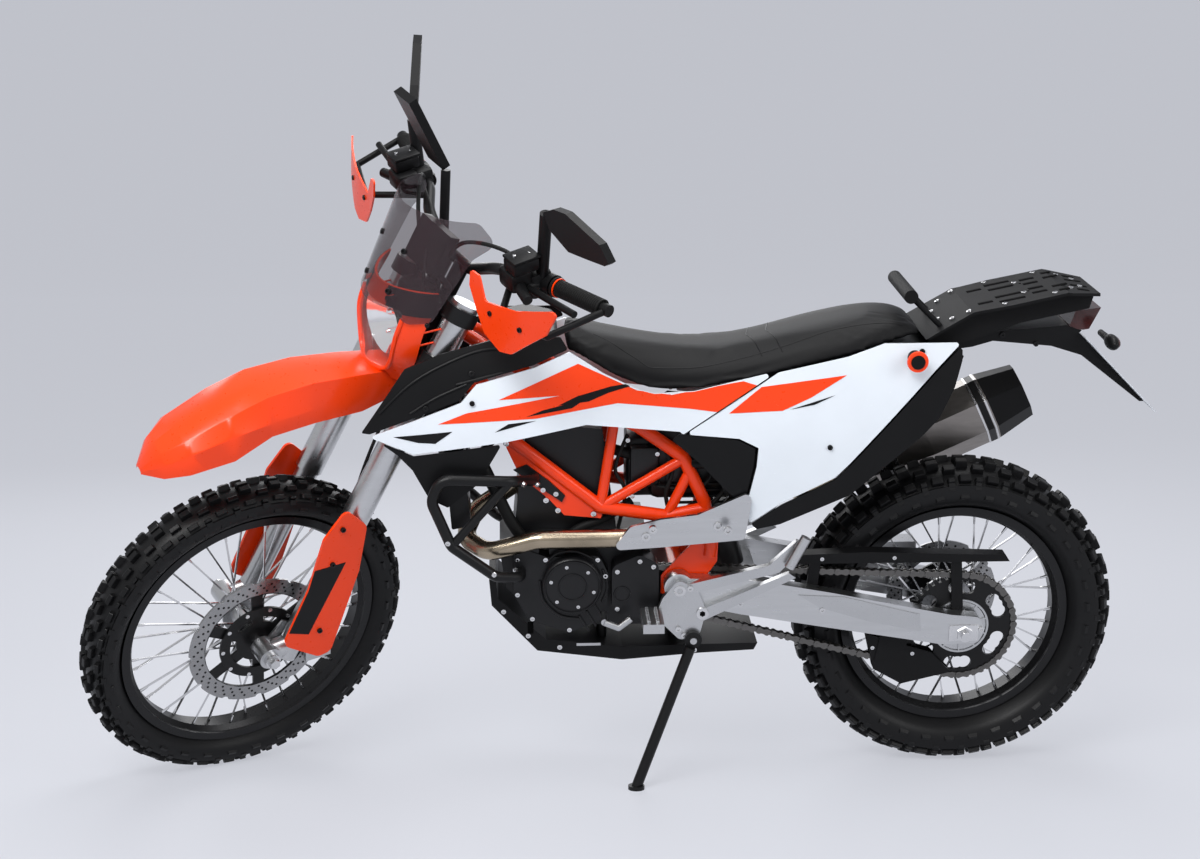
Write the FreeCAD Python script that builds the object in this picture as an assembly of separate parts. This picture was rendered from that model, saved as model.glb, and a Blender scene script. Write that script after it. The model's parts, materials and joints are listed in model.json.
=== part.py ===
import FreeCAD, Part
import math
import os
from FreeCAD import Placement, Rotation, Vector

# Dual sport motorcycle, parked on its side stand with the bars at the left stop.
# It is laid out upright and straight: X points forward from the rear axle, Y to the
# rider's left, Z up from the ground. The steered pieces are then turned, and the whole
# is leaned on to its stand.

# Driving dimensions
WHEELBASE = 1502.0          # rear axle to front axle
BODY_HEIGHT = 1000.0        # ground to the top of the tank cover
BODY_HALF_WIDTH = 170.0     # half the width over the side panels
FORK_SHARE = 0.8            # fork, from the front axle to the top clamp, of the body height
RAKE_DEG = 27.7             # steering axis from the vertical
FORK_OFFSET = 52.0          # front axle ahead of the steering axis
STEER_DEG = 33.8            # bars turned to the left stop
LEAN_DEG = 10.8             # lean to the left on the stand

# Wheels and tyres
FRONT_RADIUS = 353.0
FRONT_HALF_WIDTH = 47.0
FRONT_CROWN_RADIUS = 60.0
FRONT_RIM_RADIUS = 279.0
FRONT_RIM_HALF_WIDTH = 29.0
REAR_RADIUS = 342.0
REAR_HALF_WIDTH = 72.0
REAR_CROWN_RADIUS = 95.0
REAR_RIM_RADIUS = 242.5
REAR_RIM_HALF_WIDTH = 37.0
RIM_DEPTH = 26.0            # rim section, across its radius
RIM_WALL = 4.0
SPOKE_COUNT = 36
LUG_PITCHES = 34            # repeats of the tread round a tyre
FRONT_LUG = 12.0            # height of the lugs
REAR_LUG = 15.0
TREAD_SIDE_SHARES = [-0.88, -0.60, -0.40, 0.0, 0.40, 0.60, 0.88]
SPOKE_WIDTH = 3.4
AXLE_RADIUS = 12.0
AXLE_FIT = 0.1              # running clearance round an axle
AXLE_END_RADIUS = 10.0      # free end of the rear axle, for a stand's cup
AXLE_END_LENGTH = 15.0
FRONT_HUB_RADIUS = 24.0
FRONT_HUB_FLANGE_RADIUS = 38.0
FRONT_HUB_HALF_WIDTH = 36.0
REAR_HUB_RADIUS = 34.0
REAR_HUB_FLANGE_RADIUS = 56.0
REAR_HUB_HALF_WIDTH = 42.0
HUB_FLANGE_WIDTH = 6.0

# Brakes and drive
DISC_THICKNESS = 4.5
FRONT_DISC_RADIUS = 150.0
REAR_DISC_RADIUS = 120.0
DISC_BAND = 34.0            # swept band of a disc, across its radius
FRONT_DISC_SIDE = 60.0      # disc plane to the left of the wheel's middle
REAR_DISC_SIDE = 88.0       # disc plane to the right of the wheel's middle
DISC_LOBES = 12
BRAKE_CLEARANCE = 5.0
CHAIN_PITCH = 15.875
REAR_TEETH = 45
FRONT_TEETH = 16
CHAIN_SIDE = 88.0           # chain plane to the left of the bike's middle
CHAIN_PLATE_HEIGHT = 15.0
CHAIN_PLATE_THICKNESS = 2.5
CHAIN_INNER_GAP = 9.0
CHAIN_PIN_SHARES = [(0.60, 0.0), (0.30, 0.52), (-0.30, 0.52), (-0.60, 0.0), (-0.30, -0.52),
                    (0.30, -0.52)]
SPROCKET_THICKNESS = 8.0
SPROCKET_TOOTH = 5.0        # tooth tip beyond the chain's pitch circle
SPROCKET_ROOT = 6.0         # tooth root inside it

# Frame, fork and bars
MAIN_TUBE_RADIUS = 13.5
BRACE_TUBE_RADIUS = 10.5
FRAME_HALF_WIDTH = 98.0
HEAD_TUBE_RADIUS = 30.0
HEAD_CLEARANCE = 5.0
STEM_RADIUS = 14.0
FORK_SPREAD = 105.0         # fork leg to the bike's middle
CLAMP_AHEAD = 8.0           # fork legs ahead of the steering axis
FORK_TUBE_RADIUS = 29.0
FORK_LEG_RADIUS = 24.0
CLAMP_THICKNESS = 32.0
CLAMP_BOSS_RADIUS = 35.0
BAR_RADIUS = 12.0
GRIP_RADIUS = 17.0
GRIP_LENGTH = 125.0
BAR_HALF_LENGTH = 400.0

# Swingarm, stand and feet
PIVOT_SHARES = (0.397, 0.456)
ARM_SIDE = 120.0            # middle of an arm to the bike's middle
ARM_WIDTH = 30.0
STAND_TUBE_RADIUS = 11.0
STAND_FOOT_RADIUS = 17.0
STAND_FOOT_THICKNESS = 8.0
STAND_LUG_THICKNESS = 12.0
STAND_PIN_RADIUS = 7.0
BRACKET_WALL = 15.0         # cast brackets that carry the foot pegs

PANEL_WALL = 4.0
PLATE_WALL = 5.0
SEAM = 2.0                  # gap between neighbouring panels
REST_GAP = 0.3              # gap where a soft or curved piece rests on another
PAST = 20.0                 # how far a cutter runs past what it cuts

UP = Vector(0, 0, 1)
LEFT = Vector(0, 1, 0)
AHEAD = Vector(1, 0, 0)
ORIGIN = Vector(0, 0, 0)

FORK_LENGTH = BODY_HEIGHT * FORK_SHARE
REAR_AXLE = Vector(0, 0, REAR_RADIUS)
FRONT_AXLE = Vector(WHEELBASE, 0, FRONT_RADIUS)
RAKE = math.radians(RAKE_DEG)
STEM_DIR = Vector(-math.sin(RAKE), 0, math.cos(RAKE))
STEM_AHEAD = Vector(math.cos(RAKE), 0, math.sin(RAKE))
STEM_FOOT = FRONT_AXLE - STEM_AHEAD * FORK_OFFSET
HEAD_SHARE = 0.730          # where the steering head's top stands on the wheelbase
HEAD_BACK_SHARE = 0.507     # and how far that is behind the front axle, of the fork's length
HEAD_PLACE = WHEELBASE - HEAD_BACK_SHARE * FORK_LENGTH
SQUEEZE = (HEAD_SHARE * WHEELBASE - HEAD_PLACE) / (HEAD_SHARE - PIVOT_SHARES[0])
PIVOT = Vector(PIVOT_SHARES[0] * WHEELBASE, 0, PIVOT_SHARES[1] * BODY_HEIGHT)
ARM_INNER = ARM_SIDE - ARM_WIDTH / 2
ARM_OUTER = ARM_SIDE + ARM_WIDTH / 2
BRACKET_INNER = ARM_OUTER + REST_GAP
BRACKET_OUTER = BRACKET_INNER + BRACKET_WALL
STAND_SIDE = BRACKET_OUTER + REST_GAP + STAND_LUG_THICKNESS / 2

NODES = {}
STEERED = set()


def keep(name, shapes, steered=False):
    """Store the solids of one node under its name."""
    if not isinstance(shapes, list):
        shapes = [shapes]
    solids = [solid for shape in shapes for solid in shape.Solids]
    NODES[name] = solids[0] if len(solids) == 1 else Part.makeCompound(solids)
    if steered:
        STEERED.add(name)


def along_bike(share):
    """Place ahead of the rear axle. Ahead of the swingarm's pivot it keeps to the steering head."""
    return share * WHEELBASE - max(0.0, share - PIVOT_SHARES[0]) * SQUEEZE


def body_at(shares, side=0.0):
    """Points of the frame and bodywork, from shares of the wheelbase and body height."""
    return [Vector(along_bike(x), side, z * BODY_HEIGHT) for x, z in shares]


def arm_at(shares, side=0.0):
    """Points of the swingarm and what rides on it: shares of its length, along and above it."""
    run = PIVOT - REAR_AXLE
    rise = Vector(-run.z, 0, run.x)
    return [REAR_AXLE + run * along + rise * above + LEFT * side for along, above in shares]


def fork_end_at(shares, side=0.0):
    """Points of the steered parts, from shares of the fork length out from the front axle."""
    return [FRONT_AXLE + Vector(x * FORK_LENGTH, side, z * FORK_LENGTH) for x, z in shares]


def on_fork(along, side=0.0, ahead=0.0):
    """A point that far up the steering axis, to the left of it and ahead of it."""
    return STEM_FOOT + STEM_DIR * along + STEM_AHEAD * ahead + Vector(0, side, 0)


def mirrored(shape):
    return shape.mirror(ORIGIN, LEFT)


def both(shape):
    return [shape, mirrored(shape)]


def fuse(shapes):
    whole = shapes[0]
    if len(shapes) > 1:
        whole = whole.multiFuse(shapes[1:])
    return whole.removeSplitter()


def rod(start, end, radius):
    return Part.makeCylinder(radius, (end - start).Length, start, end - start)


def ball(centre, radius):
    return Part.makeSphere(radius, centre)


def tube_run(points, radius):
    """Straight round tubes mitred by balls at their corners."""
    pieces = [rod(a, b, radius) for a, b in zip(points, points[1:])]
    pieces += [ball(p, radius) for p in points[1:-1]]
    return fuse(pieces)


def rounded_path(points, radius):
    """Straight runs joined by tangent arcs of up to this radius."""
    edges = []
    start = points[0]
    for before, corner, after in zip(points, points[1:], points[2:]):
        back = (before - corner).normalize()
        on = (after - corner).normalize()
        half = back.getAngle(on) / 2
        room = 0.45 * min((before - corner).Length, (after - corner).Length)
        reach = min(radius / math.tan(half), room)
        bend = reach * math.tan(half)
        entry = corner + back * reach
        leave = corner + on * reach
        middle = (back + on).normalize()
        tip = corner + middle * (bend / math.sin(half) - bend)
        edges.append(Part.LineSegment(start, entry).toShape())
        edges.append(Part.Arc(entry, tip, leave).toShape())
        start = leave
    edges.append(Part.LineSegment(start, points[-1]).toShape())
    return Part.Wire(edges)


def bent_tube(points, radius, bend):
    """A round tube swept along a path with tangent bends."""
    path = rounded_path(points, bend)
    ring = Part.Wire(Part.makeCircle(radius, points[0], points[1] - points[0]))
    return path.makePipeShell([ring], True, False)


def polygon(points):
    return Part.makePolygon(points + [points[0]])


def prism(points, direction):
    """A flat outline extruded along a direction."""
    return Part.Face(polygon(points)).extrude(direction)


def slab(points, low, high):
    """An outline seen from the side, extruded between two Y places."""
    flat = [Vector(p.x, low, p.z) for p in points]
    return prism(flat, Vector(0, high - low, 0))


def soft_outline(points, radius):
    """A closed outline with its corners rounded."""
    middle = (points[-1] + points[0]) * 0.5
    return rounded_path([middle] + points + [middle], radius)


def soft_slab(points, radius, low, high):
    flat = [Vector(p.x, low, p.z) for p in points]
    return Part.Face(soft_outline(flat, radius)).extrude(Vector(0, high - low, 0))


def curve(points):
    spline = Part.BSplineCurve()
    spline.interpolate(points)
    return spline.toShape()


def loft(wires, ruled=False):
    return Part.makeLoft(wires, True, ruled)


def ring_solid(profile, centre):
    """A closed outline of (radius, side) pairs turned about the axle through the centre."""
    points = [centre + Vector(0, side, radius) for radius, side in profile]
    return Part.Face(polygon(points)).revolve(centre, LEFT, 360)


def cylinder_across(centre, radius, low, high):
    return Part.makeCylinder(radius, high - low, Vector(centre.x, low, centre.z), LEFT)


def bar_between(start, end, width):
    """A square bar from one point to another."""
    run = end - start
    bar = Part.makeBox(width, width, run.Length, Vector(-width / 2, -width / 2, 0))
    bar.Placement = Placement(start, Rotation(UP, run))
    return bar


# Wheels


def shell_solid(loops):
    """A solid closed by flat faces, each given as a loop of points."""
    faces = [Part.Face(polygon(loop)) for loop in loops]
    shell = Part.makeShell(faces)
    shell.sewShape()
    solid = Part.Solid(Part.Shell(shell.Faces))
    if solid.Volume < 0:
        solid.reverse()
    return solid


def make_tyre(axle, radius, half_width, crown_radius, rim_radius, rim_half_width, lug):
    """Knobbly tyre in flat facets: centre lugs and shoulder lugs take turns round it."""
    cells = LUG_PITCHES * 2
    round_up = 1 / math.cos(math.pi / LUG_PITCHES)
    seat = (rim_radius - RIM_DEPTH / 2 + REST_GAP) * round_up
    flange = (rim_radius + REST_GAP) * round_up
    bead = rim_half_width - RIM_WALL - REST_GAP
    belly = rim_radius + (radius - rim_radius) * 0.45
    sides = [share * half_width for share in TREAD_SIDE_SHARES]
    tips = [radius - crown_radius + math.sqrt(crown_radius ** 2 - side ** 2) for side in sides]
    columns = range(len(sides) - 1)

    def at(r, side, cell):
        turn = 2 * math.pi * cell / cells
        return axle + Vector(math.sin(turn) * r, side, math.cos(turn) * r)

    def height(row, cell, raised):
        return tips[row] if raised else tips[row] - lug

    def is_lug(column, cell):
        if cell % 2:
            return column in (0, len(sides) - 2)
        return column in (2, 3)

    def strip(low, high, low_side, high_side, first, last):
        return [at(low, low_side, first), at(high, high_side, first),
                at(high, high_side, last), at(low, low_side, last)]

    loops = []
    for cell in range(cells):
        on = cell + 1
        states = [False] + [is_lug(column, cell) for column in columns] + [False]
        for row in range(len(sides)):
            if states[row] != states[row + 1]:
                loops.append(strip(tips[row] - lug, tips[row], sides[row], sides[row], cell, on))
        for column in columns:
            low = height(column, cell, states[column + 1])
            high = height(column + 1, cell, states[column + 1])
            loops.append(strip(low, high, sides[column], sides[column + 1], cell, on))
            if is_lug(column, cell) or is_lug(column, cell + 1):
                loops.append([at(height(row, cell, raised), sides[row], on)
                              for row, raised in ((column, False), (column + 1, False),
                                                  (column + 1, True), (column, True))])
    for pitch in range(LUG_PITCHES):
        start, middle, stop = pitch * 2, pitch * 2 + 1, pitch * 2 + 2
        for row, sign in ((0, -1), (len(sides) - 1, 1)):
            edge = tips[row] - lug
            corners = [at(edge, sides[row], cell) for cell in (start, middle, stop)]
            bulge = [at(belly, sign * half_width, cell) for cell in (start, stop)]
            loops += [[corners[0], corners[1], bulge[0]], [corners[1], bulge[1], bulge[0]],
                      [corners[1], corners[2], bulge[1]]]
            loops.append(strip(belly, flange, sign * half_width, sign * bead, start, stop))
            loops.append(strip(flange, seat, sign * bead, sign * bead, start, stop))
        loops.append(strip(seat, seat, -bead, bead, start, stop))
    return shell_solid(loops)


def make_rim(axle, radius, half_width):
    """Rim with two flanges, bead seats and a drop centre."""
    seat = radius - RIM_DEPTH / 2
    well = radius - RIM_DEPTH
    drop = half_width * 0.45
    left = [(radius, half_width), (radius, half_width - RIM_WALL), (seat, half_width - RIM_WALL),
            (seat, drop * 1.4), (seat - RIM_WALL, drop)]
    inner = [(well, drop), (seat - RIM_WALL, drop * 1.7), (seat - RIM_WALL, half_width)]
    outer_side = [(r, -side) for r, side in reversed(left)]
    inner_side = [(r, -side) for r, side in inner]
    return ring_solid(left + outer_side + list(reversed(inner_side)) + inner, axle)


def make_spokes(axle, rim_radius, flange_radius, flange_side, rim_side):
    """Crossed spokes, half to each hub flange, alternately leading and trailing."""
    bed = rim_radius - RIM_DEPTH - REST_GAP
    seat = flange_radius + SPOKE_WIDTH / 2
    step = 2 * math.pi / SPOKE_COUNT
    spokes = []
    for index in range(SPOKE_COUNT):
        side = 1 if index % 2 else -1
        lead = 1 if index % 4 < 2 else -1
        rim_angle = index * step
        hub_angle = rim_angle + lead * step * 3.0
        offset = lead * SPOKE_WIDTH * 0.8
        start = axle + Vector(seat * math.sin(hub_angle), side * flange_side + offset,
                              seat * math.cos(hub_angle))
        end = axle + Vector(bed * math.sin(rim_angle), side * rim_side,
                            bed * math.cos(rim_angle))
        spokes.append(bar_between(start, end, SPOKE_WIDTH))
    return spokes


def make_hub(axle, radius, flange_radius, half_width):
    """Hub barrel with a spoke flange at each end and a bore for the axle."""
    bore = AXLE_RADIUS + AXLE_FIT
    waist = radius * 0.85
    flange = half_width - HUB_FLANGE_WIDTH
    boss = half_width * 1.35
    profile = [(bore, -boss), (radius * 0.8, -boss), (radius * 0.8, -half_width),
               (flange_radius, -half_width), (flange_radius, -flange), (radius, -flange),
               (waist, 0), (radius, flange), (flange_radius, flange),
               (flange_radius, half_width), (radius * 0.8, half_width),
               (radius * 0.8, boss), (bore, boss)]
    return ring_solid(profile, axle)


def make_disc(axle, radius, side, hub_radius):
    """Scalloped brake disc and the carrier that holds it to the hub."""
    low = side - DISC_THICKNESS / 2
    ring = cylinder_across(axle, radius, low, low + DISC_THICKNESS)
    ring = ring.cut(cylinder_across(axle, radius - DISC_BAND, low - PAST, low + PAST))
    bite = radius * 0.06
    for index in range(DISC_LOBES):
        turn = 2 * math.pi * index / DISC_LOBES
        spot = axle + Vector(math.sin(turn), 0, math.cos(turn)) * (radius + bite * 0.4)
        ring = ring.cut(cylinder_across(spot, bite, low - PAST, low + PAST))
    arms = cylinder_across(axle, hub_radius * 1.25, low, low + DISC_THICKNESS)
    arm_width = radius * 0.16
    reach = radius - DISC_BAND + PANEL_WALL
    for index in range(DISC_LOBES // 2):
        arm = Part.makeBox(arm_width, DISC_THICKNESS, reach, Vector(-arm_width / 2, low, 0))
        arm.rotate(ORIGIN, LEFT, 360 * index / (DISC_LOBES // 2))
        arm.translate(Vector(axle.x, 0, axle.z))
        arms = arms.fuse(arm)
    bore = cylinder_across(axle, AXLE_RADIUS + AXLE_FIT, low - PAST, low + PAST)
    return fuse([ring, arms]).cut(bore)


def make_wheels():
    keep("front_tyre", make_tyre(FRONT_AXLE, FRONT_RADIUS, FRONT_HALF_WIDTH,
                                 FRONT_CROWN_RADIUS, FRONT_RIM_RADIUS,
                                 FRONT_RIM_HALF_WIDTH, FRONT_LUG), True)
    keep("front_rim", make_rim(FRONT_AXLE, FRONT_RIM_RADIUS, FRONT_RIM_HALF_WIDTH), True)
    keep("front_spokes", make_spokes(FRONT_AXLE, FRONT_RIM_RADIUS, FRONT_HUB_FLANGE_RADIUS,
                                     FRONT_HUB_HALF_WIDTH - HUB_FLANGE_WIDTH / 2,
                                     FRONT_RIM_HALF_WIDTH * 0.25), True)
    keep("front_hub", make_hub(FRONT_AXLE, FRONT_HUB_RADIUS, FRONT_HUB_FLANGE_RADIUS,
                               FRONT_HUB_HALF_WIDTH), True)
    front_disc = make_disc(FRONT_AXLE, FRONT_DISC_RADIUS, FRONT_DISC_SIDE,
                           FRONT_HUB_FLANGE_RADIUS)
    keep("front_disc", front_disc, True)
    keep("rear_tyre", make_tyre(REAR_AXLE, REAR_RADIUS, REAR_HALF_WIDTH,
                                REAR_CROWN_RADIUS, REAR_RIM_RADIUS, REAR_RIM_HALF_WIDTH,
                                REAR_LUG))
    keep("rear_rim", make_rim(REAR_AXLE, REAR_RIM_RADIUS, REAR_RIM_HALF_WIDTH))
    keep("rear_spokes", make_spokes(REAR_AXLE, REAR_RIM_RADIUS, REAR_HUB_FLANGE_RADIUS,
                                    REAR_HUB_HALF_WIDTH - HUB_FLANGE_WIDTH / 2,
                                    REAR_RIM_HALF_WIDTH * 0.25))
    keep("rear_hub", make_hub(REAR_AXLE, REAR_HUB_RADIUS, REAR_HUB_FLANGE_RADIUS,
                              REAR_HUB_HALF_WIDTH))
    keep("rear_disc", make_disc(REAR_AXLE, REAR_DISC_RADIUS, -REAR_DISC_SIDE,
                                REAR_HUB_FLANGE_RADIUS))


# Chain and sprockets

SPROCKET_SHARES = (1.101, -0.036)
SPROCKET_CENTRE = arm_at([SPROCKET_SHARES])[0]
REAR_PITCH_RADIUS = CHAIN_PITCH / 2 / math.sin(math.pi / REAR_TEETH)
FRONT_PITCH_RADIUS = CHAIN_PITCH / 2 / math.sin(math.pi / FRONT_TEETH)


def make_sprocket():
    """Rear sprocket with its teeth and six oval windows."""
    low = CHAIN_SIDE - SPROCKET_THICKNESS / 2
    tip = REAR_PITCH_RADIUS + SPROCKET_TOOTH
    root = REAR_PITCH_RADIUS - SPROCKET_ROOT
    points = []
    for tooth in range(REAR_TEETH):
        for share, radius in ((0.0, root), (0.35, root), (0.55, tip), (0.80, tip)):
            turn = 2 * math.pi * (tooth + share) / REAR_TEETH
            points.append(Vector(math.sin(turn) * radius, low, math.cos(turn) * radius) + REAR_AXLE)
    wheel = prism(points, LEFT * SPROCKET_THICKNESS)
    cutters = [cylinder_across(REAR_AXLE, AXLE_RADIUS + AXLE_FIT, low - PAST, low + PAST)]
    window = REAR_PITCH_RADIUS * 0.13
    for index in range(6):
        for share in (-0.16, 0.0, 0.16):
            turn = 2 * math.pi * (index + share) / 6
            spot = REAR_AXLE + Vector(math.sin(turn), 0, math.cos(turn)) * REAR_PITCH_RADIUS * 0.76
            cutters.append(cylinder_across(spot, window, low - PAST, low + PAST))
    return wheel.cut(fuse(cutters))


def chain_ends(grow):
    """Ends of the top run and the low run, rear end first, moved out from the pitch line."""
    run = SPROCKET_CENTRE - REAR_AXLE
    big = REAR_PITCH_RADIUS + grow
    small = FRONT_PITCH_RADIUS + grow
    slope = math.atan2(run.z, run.x)
    swing = math.acos((big - small) / run.Length)
    runs = []
    for angle in (slope + swing, slope - swing):
        out = Vector(math.cos(angle), 0, math.sin(angle))
        runs.append([REAR_AXLE + out * big, SPROCKET_CENTRE + out * small])
    return runs


def chain_loop(grow):
    """The chain's path as a closed outline in straight links, moved out from the pitch line."""
    run = SPROCKET_CENTRE - REAR_AXLE
    big = REAR_PITCH_RADIUS + grow
    small = FRONT_PITCH_RADIUS + grow
    slope = math.atan2(run.z, run.x)
    swing = math.acos((big - small) / run.Length)
    whole = 2 * math.pi
    points = []
    for centre, radius, teeth, first, last in (
            (REAR_AXLE, big, REAR_TEETH, slope + swing, slope + whole - swing),
            (SPROCKET_CENTRE, small, FRONT_TEETH, slope - swing, slope + swing)):
        steps = round((last - first) * teeth / whole)
        for index in range(steps + 1):
            angle = first + (last - first) * index / steps
            points.append(centre + Vector(math.cos(angle), 0, math.sin(angle)) * radius)
    return polygon(points)


def make_chain():
    """Two rows of plates round both sprockets, joined by rollers on the straight runs."""
    half = CHAIN_PLATE_HEIGHT / 2
    band = Part.Face(chain_loop(half)).cut(Part.Face(chain_loop(-half)))
    pieces = []
    for low in (CHAIN_SIDE + CHAIN_INNER_GAP / 2,
                CHAIN_SIDE - CHAIN_INNER_GAP / 2 - CHAIN_PLATE_THICKNESS):
        row = band.extrude(LEFT * CHAIN_PLATE_THICKNESS)
        row.translate(LEFT * low)
        pieces.append(row)
    for rear, front in chain_ends(0):
        run = front - rear
        count = int(run.Length / CHAIN_PITCH / 4)
        for index in range(3, count):
            spot = rear + run * (index / count)
            pin = [spot + Vector(x, 0, z) * half for x, z in CHAIN_PIN_SHARES]
            pieces.append(slab(pin, CHAIN_SIDE - CHAIN_INNER_GAP / 2,
                               CHAIN_SIDE + CHAIN_INNER_GAP / 2))
    return fuse(pieces)


# Frame

LOW_CLAMP = 0.8625 * FORK_LENGTH    # underside of the lower clamp, up the steering axis
HEAD_LOW = LOW_CLAMP + CLAMP_THICKNESS + HEAD_CLEARANCE
HEAD_HIGH = FORK_LENGTH - HEAD_CLEARANCE
TOP_TUBE_SHARES = [(0.600, 0.900, 0.80), (0.452, 0.792, 1.0), (0.392, 0.727, 1.0),
                   (0.362, 0.630, 1.0), (0.352, 0.530, 1.0), (0.354, 0.512, 1.0)]
DOWN_TUBE_SHARES = [(0.637, 0.785, 0.95), (0.503, 0.622, 1.0), (0.413, 0.600, 1.0),
                    (0.362, 0.615, 1.0)]
BRACE_SHARES = [((0.503, 0.622), (0.484, 0.812)), ((0.503, 0.622), (0.392, 0.722)),
                ((0.413, 0.600), (0.380, 0.705))]
PIVOT_PLATE_SHARES = [(0.342, 0.560), (0.366, 0.560), (0.420, 0.470), (0.420, 0.430),
                      (0.375, 0.430), (0.343, 0.500)]
PIVOT_TUBE_RADIUS = 20.0
ENGINE_MOUNT_SHARES = [(0.507, 0.624), (0.560, 0.662)]
CYLINDER_HALF_WIDTH = 75.0
GUSSET_SHARES = [(0.640, 0.790), (0.612, 0.694), (0.572, 0.640), (0.552, 0.606), (0.503, 0.598),
                 (0.495, 0.625), (0.520, 0.650), (0.560, 0.700), (0.600, 0.750)]


def make_frame():
    """Round-tube trellis from the steering head to the swingarm pivot."""
    head = rod(on_fork(HEAD_LOW), on_fork(HEAD_HIGH), HEAD_TUBE_RADIUS)
    pieces = []
    for side in (1, -1):
        wide = side * FRAME_HALF_WIDTH

        def spots(shares):
            return [Vector(along_bike(x), y * wide, z * BODY_HEIGHT) for x, z, y in shares]

        near_head = side * HEAD_TUBE_RADIUS * 0.4
        top = [on_fork(HEAD_HIGH * 0.975, near_head)] + spots(TOP_TUBE_SHARES)
        down = [on_fork(HEAD_LOW * 1.035, near_head)] + spots(DOWN_TUBE_SHARES)
        pieces.append(tube_run(top, MAIN_TUBE_RADIUS))
        pieces.append(tube_run(down, MAIN_TUBE_RADIUS))
        for start, end in BRACE_SHARES:
            ends = body_at([start, end], wide)
            pieces.append(rod(ends[0], ends[1], BRACE_TUBE_RADIUS))
        pieces.append(slab(body_at(GUSSET_SHARES), wide - PLATE_WALL / 2, wide + PLATE_WALL / 2))
        pieces.append(slab(body_at(PIVOT_PLATE_SHARES), wide - PLATE_WALL / 2,
                           wide + PLATE_WALL / 2))
    for x, z, y in (TOP_TUBE_SHARES[1], TOP_TUBE_SHARES[3], DOWN_TUBE_SHARES[0]):
        spot = body_at([(x, z)])[0]
        reach = FRAME_HALF_WIDTH * y
        pieces.append(cylinder_across(spot, BRACE_TUBE_RADIUS, -reach, reach))
    reach = ARM_INNER - REST_GAP
    pieces.append(cylinder_across(PIVOT, PIVOT_TUBE_RADIUS, -reach, reach))
    for spot in body_at(ENGINE_MOUNT_SHARES):
        inner = CYLINDER_HALF_WIDTH + REST_GAP
        pieces += both(cylinder_across(spot, BRACE_TUBE_RADIUS, inner, FRAME_HALF_WIDTH))
    frame = fuse([head] + pieces)
    stem_room = rod(on_fork(HEAD_LOW - PAST), on_fork(HEAD_HIGH + PAST), STEM_RADIUS + AXLE_FIT)
    return frame.cut(stem_room)


# Engine

CASE_HALF_WIDTH = 94.0
COVER_DEPTH = 38.0
CASE_SHARES = [(0.640, 0.520), (0.632, 0.440), (0.590, 0.378), (0.520, 0.354), (0.380, 0.350),
               (0.362, 0.380), (0.360, 0.420), (0.432, 0.500), (0.440, 0.560), (0.600, 0.570)]
CYLINDER_SHARES = [(0.480, 0.560), (0.500, 0.780), (0.600, 0.800), (0.610, 0.700), (0.620, 0.560)]
LEFT_FLANGE_SHARES = [(0.620, 0.545), (0.575, 0.520), (0.505, 0.522), (0.492, 0.480),
                      (0.495, 0.385), (0.545, 0.352), (0.600, 0.380), (0.622, 0.440)]
SPROCKET_COVER_SHARES = [(0.488, 0.500), (0.450, 0.525), (0.424, 0.505), (0.424, 0.395),
                         (0.440, 0.380), (0.488, 0.400)]
ENGINE_COVER_SHARES = (0.542, 0.462)
ENGINE_COVER_RADIUS = 62.0
SKID_SHARES = [(0.655, 0.470), (0.652, 0.413), (0.590, 0.310), (0.473, 0.286), (0.364, 0.298),
               (0.290, 0.303), (0.285, 0.318), (0.360, 0.318), (0.473, 0.315), (0.578, 0.335),
               (0.643, 0.428), (0.646, 0.470)]
ENGINE_COVER_FACE = CHAIN_SIDE - CHAIN_INNER_GAP - SEAM + COVER_DEPTH
SKID_POST_SHARES = [(0.500, 0.310), (0.400, 0.312)]
SKID_POST_HEIGHT = 60.0


def make_engine():
    inner = CHAIN_SIDE - CHAIN_INNER_GAP - SEAM
    case = slab(body_at(CASE_SHARES), -CASE_HALF_WIDTH, inner)
    case = case.cut(cylinder_across(PIVOT, PIVOT_TUBE_RADIUS + REST_GAP, -CASE_HALF_WIDTH - PAST,
                                    CASE_HALF_WIDTH + PAST))
    keep("engine_case", case)
    cylinder = slab(body_at(CYLINDER_SHARES), -CYLINDER_HALF_WIDTH, CYLINDER_HALF_WIDTH)
    keep("engine_cylinder", cylinder.cut(case))
    hub = body_at([ENGINE_COVER_SHARES])[0]
    flange = soft_slab(body_at(LEFT_FLANGE_SHARES), ENGINE_COVER_RADIUS / 3, inner,
                       inner + COVER_DEPTH)
    dome = cylinder_across(hub, ENGINE_COVER_RADIUS, inner, inner + COVER_DEPTH * 1.5)
    dome = dome.makeFillet(COVER_DEPTH / 4, [dome.Edges[0]])
    left_cover = fuse([flange, dome])
    guard = soft_slab(body_at(SPROCKET_COVER_SHARES), ENGINE_COVER_RADIUS / 3, inner,
                      inner + COVER_DEPTH * 1.2)
    chain_room = Part.Face(chain_loop(CHAIN_PLATE_HEIGHT * 0.7)).extrude(
        LEFT * (CHAIN_INNER_GAP * 2))
    chain_room.translate(LEFT * (CHAIN_SIDE - CHAIN_INNER_GAP - SEAM / 2))
    right = cylinder_across(hub, ENGINE_COVER_RADIUS * 1.3, -CASE_HALF_WIDTH - COVER_DEPTH,
                            -CASE_HALF_WIDTH)
    right = right.makeFillet(COVER_DEPTH / 4, [right.Edges[2]])
    keep("engine_covers", [left_cover, guard.cut(chain_room), right])


def make_skid_plate():
    """Bash plate under the engine, on four posts."""
    side = CASE_HALF_WIDTH * 1.15
    pan = slab(body_at(SKID_SHARES), -side, side)
    posts = []
    for spot in body_at(SKID_POST_SHARES):
        post = Part.makeCylinder(BRACE_TUBE_RADIUS, SKID_POST_HEIGHT, spot)
        post.translate(LEFT * CASE_HALF_WIDTH * 0.6)
        posts += both(post)
    return fuse([pan] + posts).cut(NODES["engine_case"])


# Exhaust

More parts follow.
